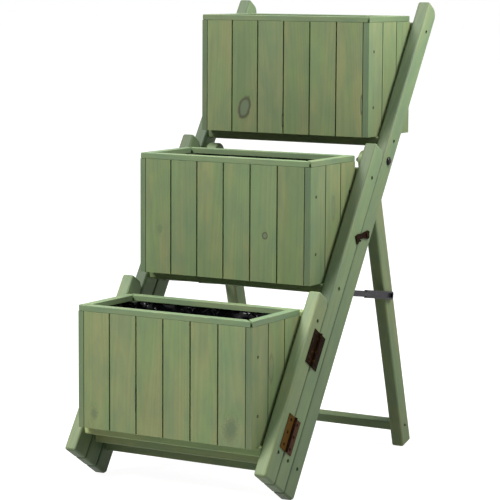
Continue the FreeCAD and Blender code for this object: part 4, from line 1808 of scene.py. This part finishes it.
@dataclass(frozen=True)
class Viewpoint:
    """Where the photograph was taken from, measured from the middle of the lowest box's front rim.

    Attributes:
        azimuth: Angle round the object from straight in front.
        elevation: Angle above the horizon.
        roll: Turn of the picture.
        distance: Distance along the line of sight.
        right: Shift to the right, across the line of sight.
        up: Shift up, across the line of sight.
        focal_px: Focal length in pixels of the picture.
        frame_px: Width of the picture.
        sensor: Width of the camera's sensor, in millimetres.
        far: How far the camera sees.
    """

    azimuth: float = math.radians(30.639)
    elevation: float = math.radians(7.185)
    roll: float = math.radians(0.319)
    distance: float = 4.3203
    right: float = 0.172669
    up: float = 0.124892
    focal_px: float = 2182.4
    frame_px: float = 500.0
    sensor: float = 36.0
    far: float = 100.0

    def build(self) -> None:
        """Make the camera."""
        low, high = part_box("lower_rim_boards")
        aim = Vector((0.0, low.y, high.z))
        flat = math.cos(self.elevation)
        sine, cosine = math.sin(self.azimuth), math.cos(self.azimuth)
        back = Vector((sine * flat, -cosine * flat, math.sin(self.elevation)))
        right = Vector((cosine, sine, 0.0))
        up = back.cross(right)
        right, up = (
            right * math.cos(self.roll) + up * math.sin(self.roll),
            up * math.cos(self.roll) - right * math.sin(self.roll),
        )
        lens = bpy.data.cameras.new("camera")
        lens.sensor_width = self.sensor
        lens.lens = self.focal_px / self.frame_px * self.sensor
        lens.clip_end = self.far
        camera = link(bpy.data.objects.new("camera", lens))
        place = aim + right * self.right + up * self.up + back * self.distance
        turn = Matrix((right, up, back)).transposed().to_4x4()
        camera.matrix_world = Matrix.Translation(place) @ turn
        bpy.context.scene.camera = camera


@dataclass(frozen=True)
class Softbox:
    """A large soft lamp.

    Attributes:
        name: Name of the lamp.
        place: Where it stands.
        width: Its width and height.
        power: Its power in watts.
    """

    name: str
    place: Vector
    width: float
    power: float

    def build(self, aim: Vector) -> None:
        """Make the lamp and point it at a place.

        Args:
            aim: The place.
        """
        data = bpy.data.lights.new(self.name, "AREA")
        data.shape = "SQUARE"
        data.size = self.width
        data.energy = self.power
        lamp = link(bpy.data.objects.new(self.name, data))
        lamp.location = self.place
        lamp.rotation_euler = (aim - self.place).to_track_quat("-Z", "Y").to_euler()


@dataclass
class Studio:
    """White floor and background with soft light from the right and the front left.

    Attributes:
        ambient: Strength of the even light from the background.
        floor_half: Half of the floor's width.
        floor_grey: How much light the floor throws back.
        floor_white: How white the floor looks in the shadow.
        floor_fade: Distances between which it goes over into the background.
        aim: Where the lamps point.
        lamps: The lamps.
    """

    ambient: float = 0.04
    floor_half: float = 30.0
    floor_grey: float = 0.3
    floor_white: float = 0.96
    floor_fade: Span = (0.5, 2.6)
    aim: Vector = field(default_factory=lambda: Vector((0.0, 0.0, 0.5)))
    lamps: Tuple[Softbox, ...] = (
        Softbox("side_softbox", Vector((1.05, 0.2, 1.6)), 0.7, 21.0),
        Softbox("front_softbox", Vector((-5.0, -6.9, 10.2)), 5.6, 2020.0),
        Softbox("top_softbox", Vector((0.3, 0.2, 2.6)), 1.4, 14.0),
    )

    def build(self) -> None:
        """Make the floor, the background and the lamps."""
        self.build_world()
        self.build_floor()
        for lamp in self.lamps:
            lamp.build(self.aim)

    @staticmethod
    def seen(graph: Graph) -> Wire:
        """1 for rays from the camera, and for those that shiny and clear surfaces send out.

        Args:
            graph: The graph to add it to.

        Returns:
            The mask.
        """
        path = graph.add("ShaderNodeLightPath").outputs
        kinds = ("Camera", "Glossy", "Transmission")
        camera, glossy, clear = (Wire(graph, path[f"Is {kind} Ray"]) for kind in kinds)
        return graph.math("MAXIMUM", camera, graph.math("MAXIMUM", glossy, clear))

    def build_world(self) -> None:
        """Make a background that is white to look at and gives a soft even light."""
        world = bpy.data.worlds.new("studio")
        world.use_nodes = True
        bpy.context.scene.world = world
        graph = Graph(world.node_tree)
        light = world.node_tree.nodes["Background"].inputs
        graph.feed(light["Color"], (1.0, 1.0, 1.0, 1.0))
        graph.feed(light["Strength"], self.seen(graph).ramp(1.0 - self.ambient, self.ambient))

    def build_floor(self) -> None:
        """Make a pale floor that goes over into the background and keeps the object's shadow."""
        clear_selection()
        bpy.ops.mesh.primitive_plane_add(size=2 * self.floor_half)
        floor = bpy.context.object
        floor.name = "floor"
        material = bpy.data.materials.new("floor")
        material.use_nodes = True
        graph = Graph(material.node_tree)
        material.node_tree.nodes.clear()
        grey = (self.floor_grey, self.floor_grey, self.floor_grey, 1.0)
        matt = graph.wire("ShaderNodeBsdfDiffuse", {"Color": grey})
        away = graph.vectors("LENGTH", graph.place(), output="Value")
        white = away.step(*self.floor_fade, self.floor_white, 1.0)
        glow = graph.wire("ShaderNodeEmission", {"Strength": self.seen(graph) * white})
        both = graph.wire("ShaderNodeAddShader", {0: matt, 1: glow})
        graph.add("ShaderNodeOutputMaterial", {"Surface": both})
        coat(floor, material)


def main() -> None:
    """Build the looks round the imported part."""
    logging.basicConfig(level=logging.INFO, format="%(name)s: %(message)s")
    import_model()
    bpy.context.scene.view_settings.view_transform = "Standard"
    paint = Paintbox()
    boxes = [PlanterBox(tier, paint) for tier in Tier]
    for assembly in [*boxes, FilmLiners(paint), RailFrame(paint), RearLegs(paint), Fittings(paint)]:
        assembly.build()
        assembly.dress()
    Viewpoint().build()
    Studio().build()


if __name__ == "__main__":
    main()
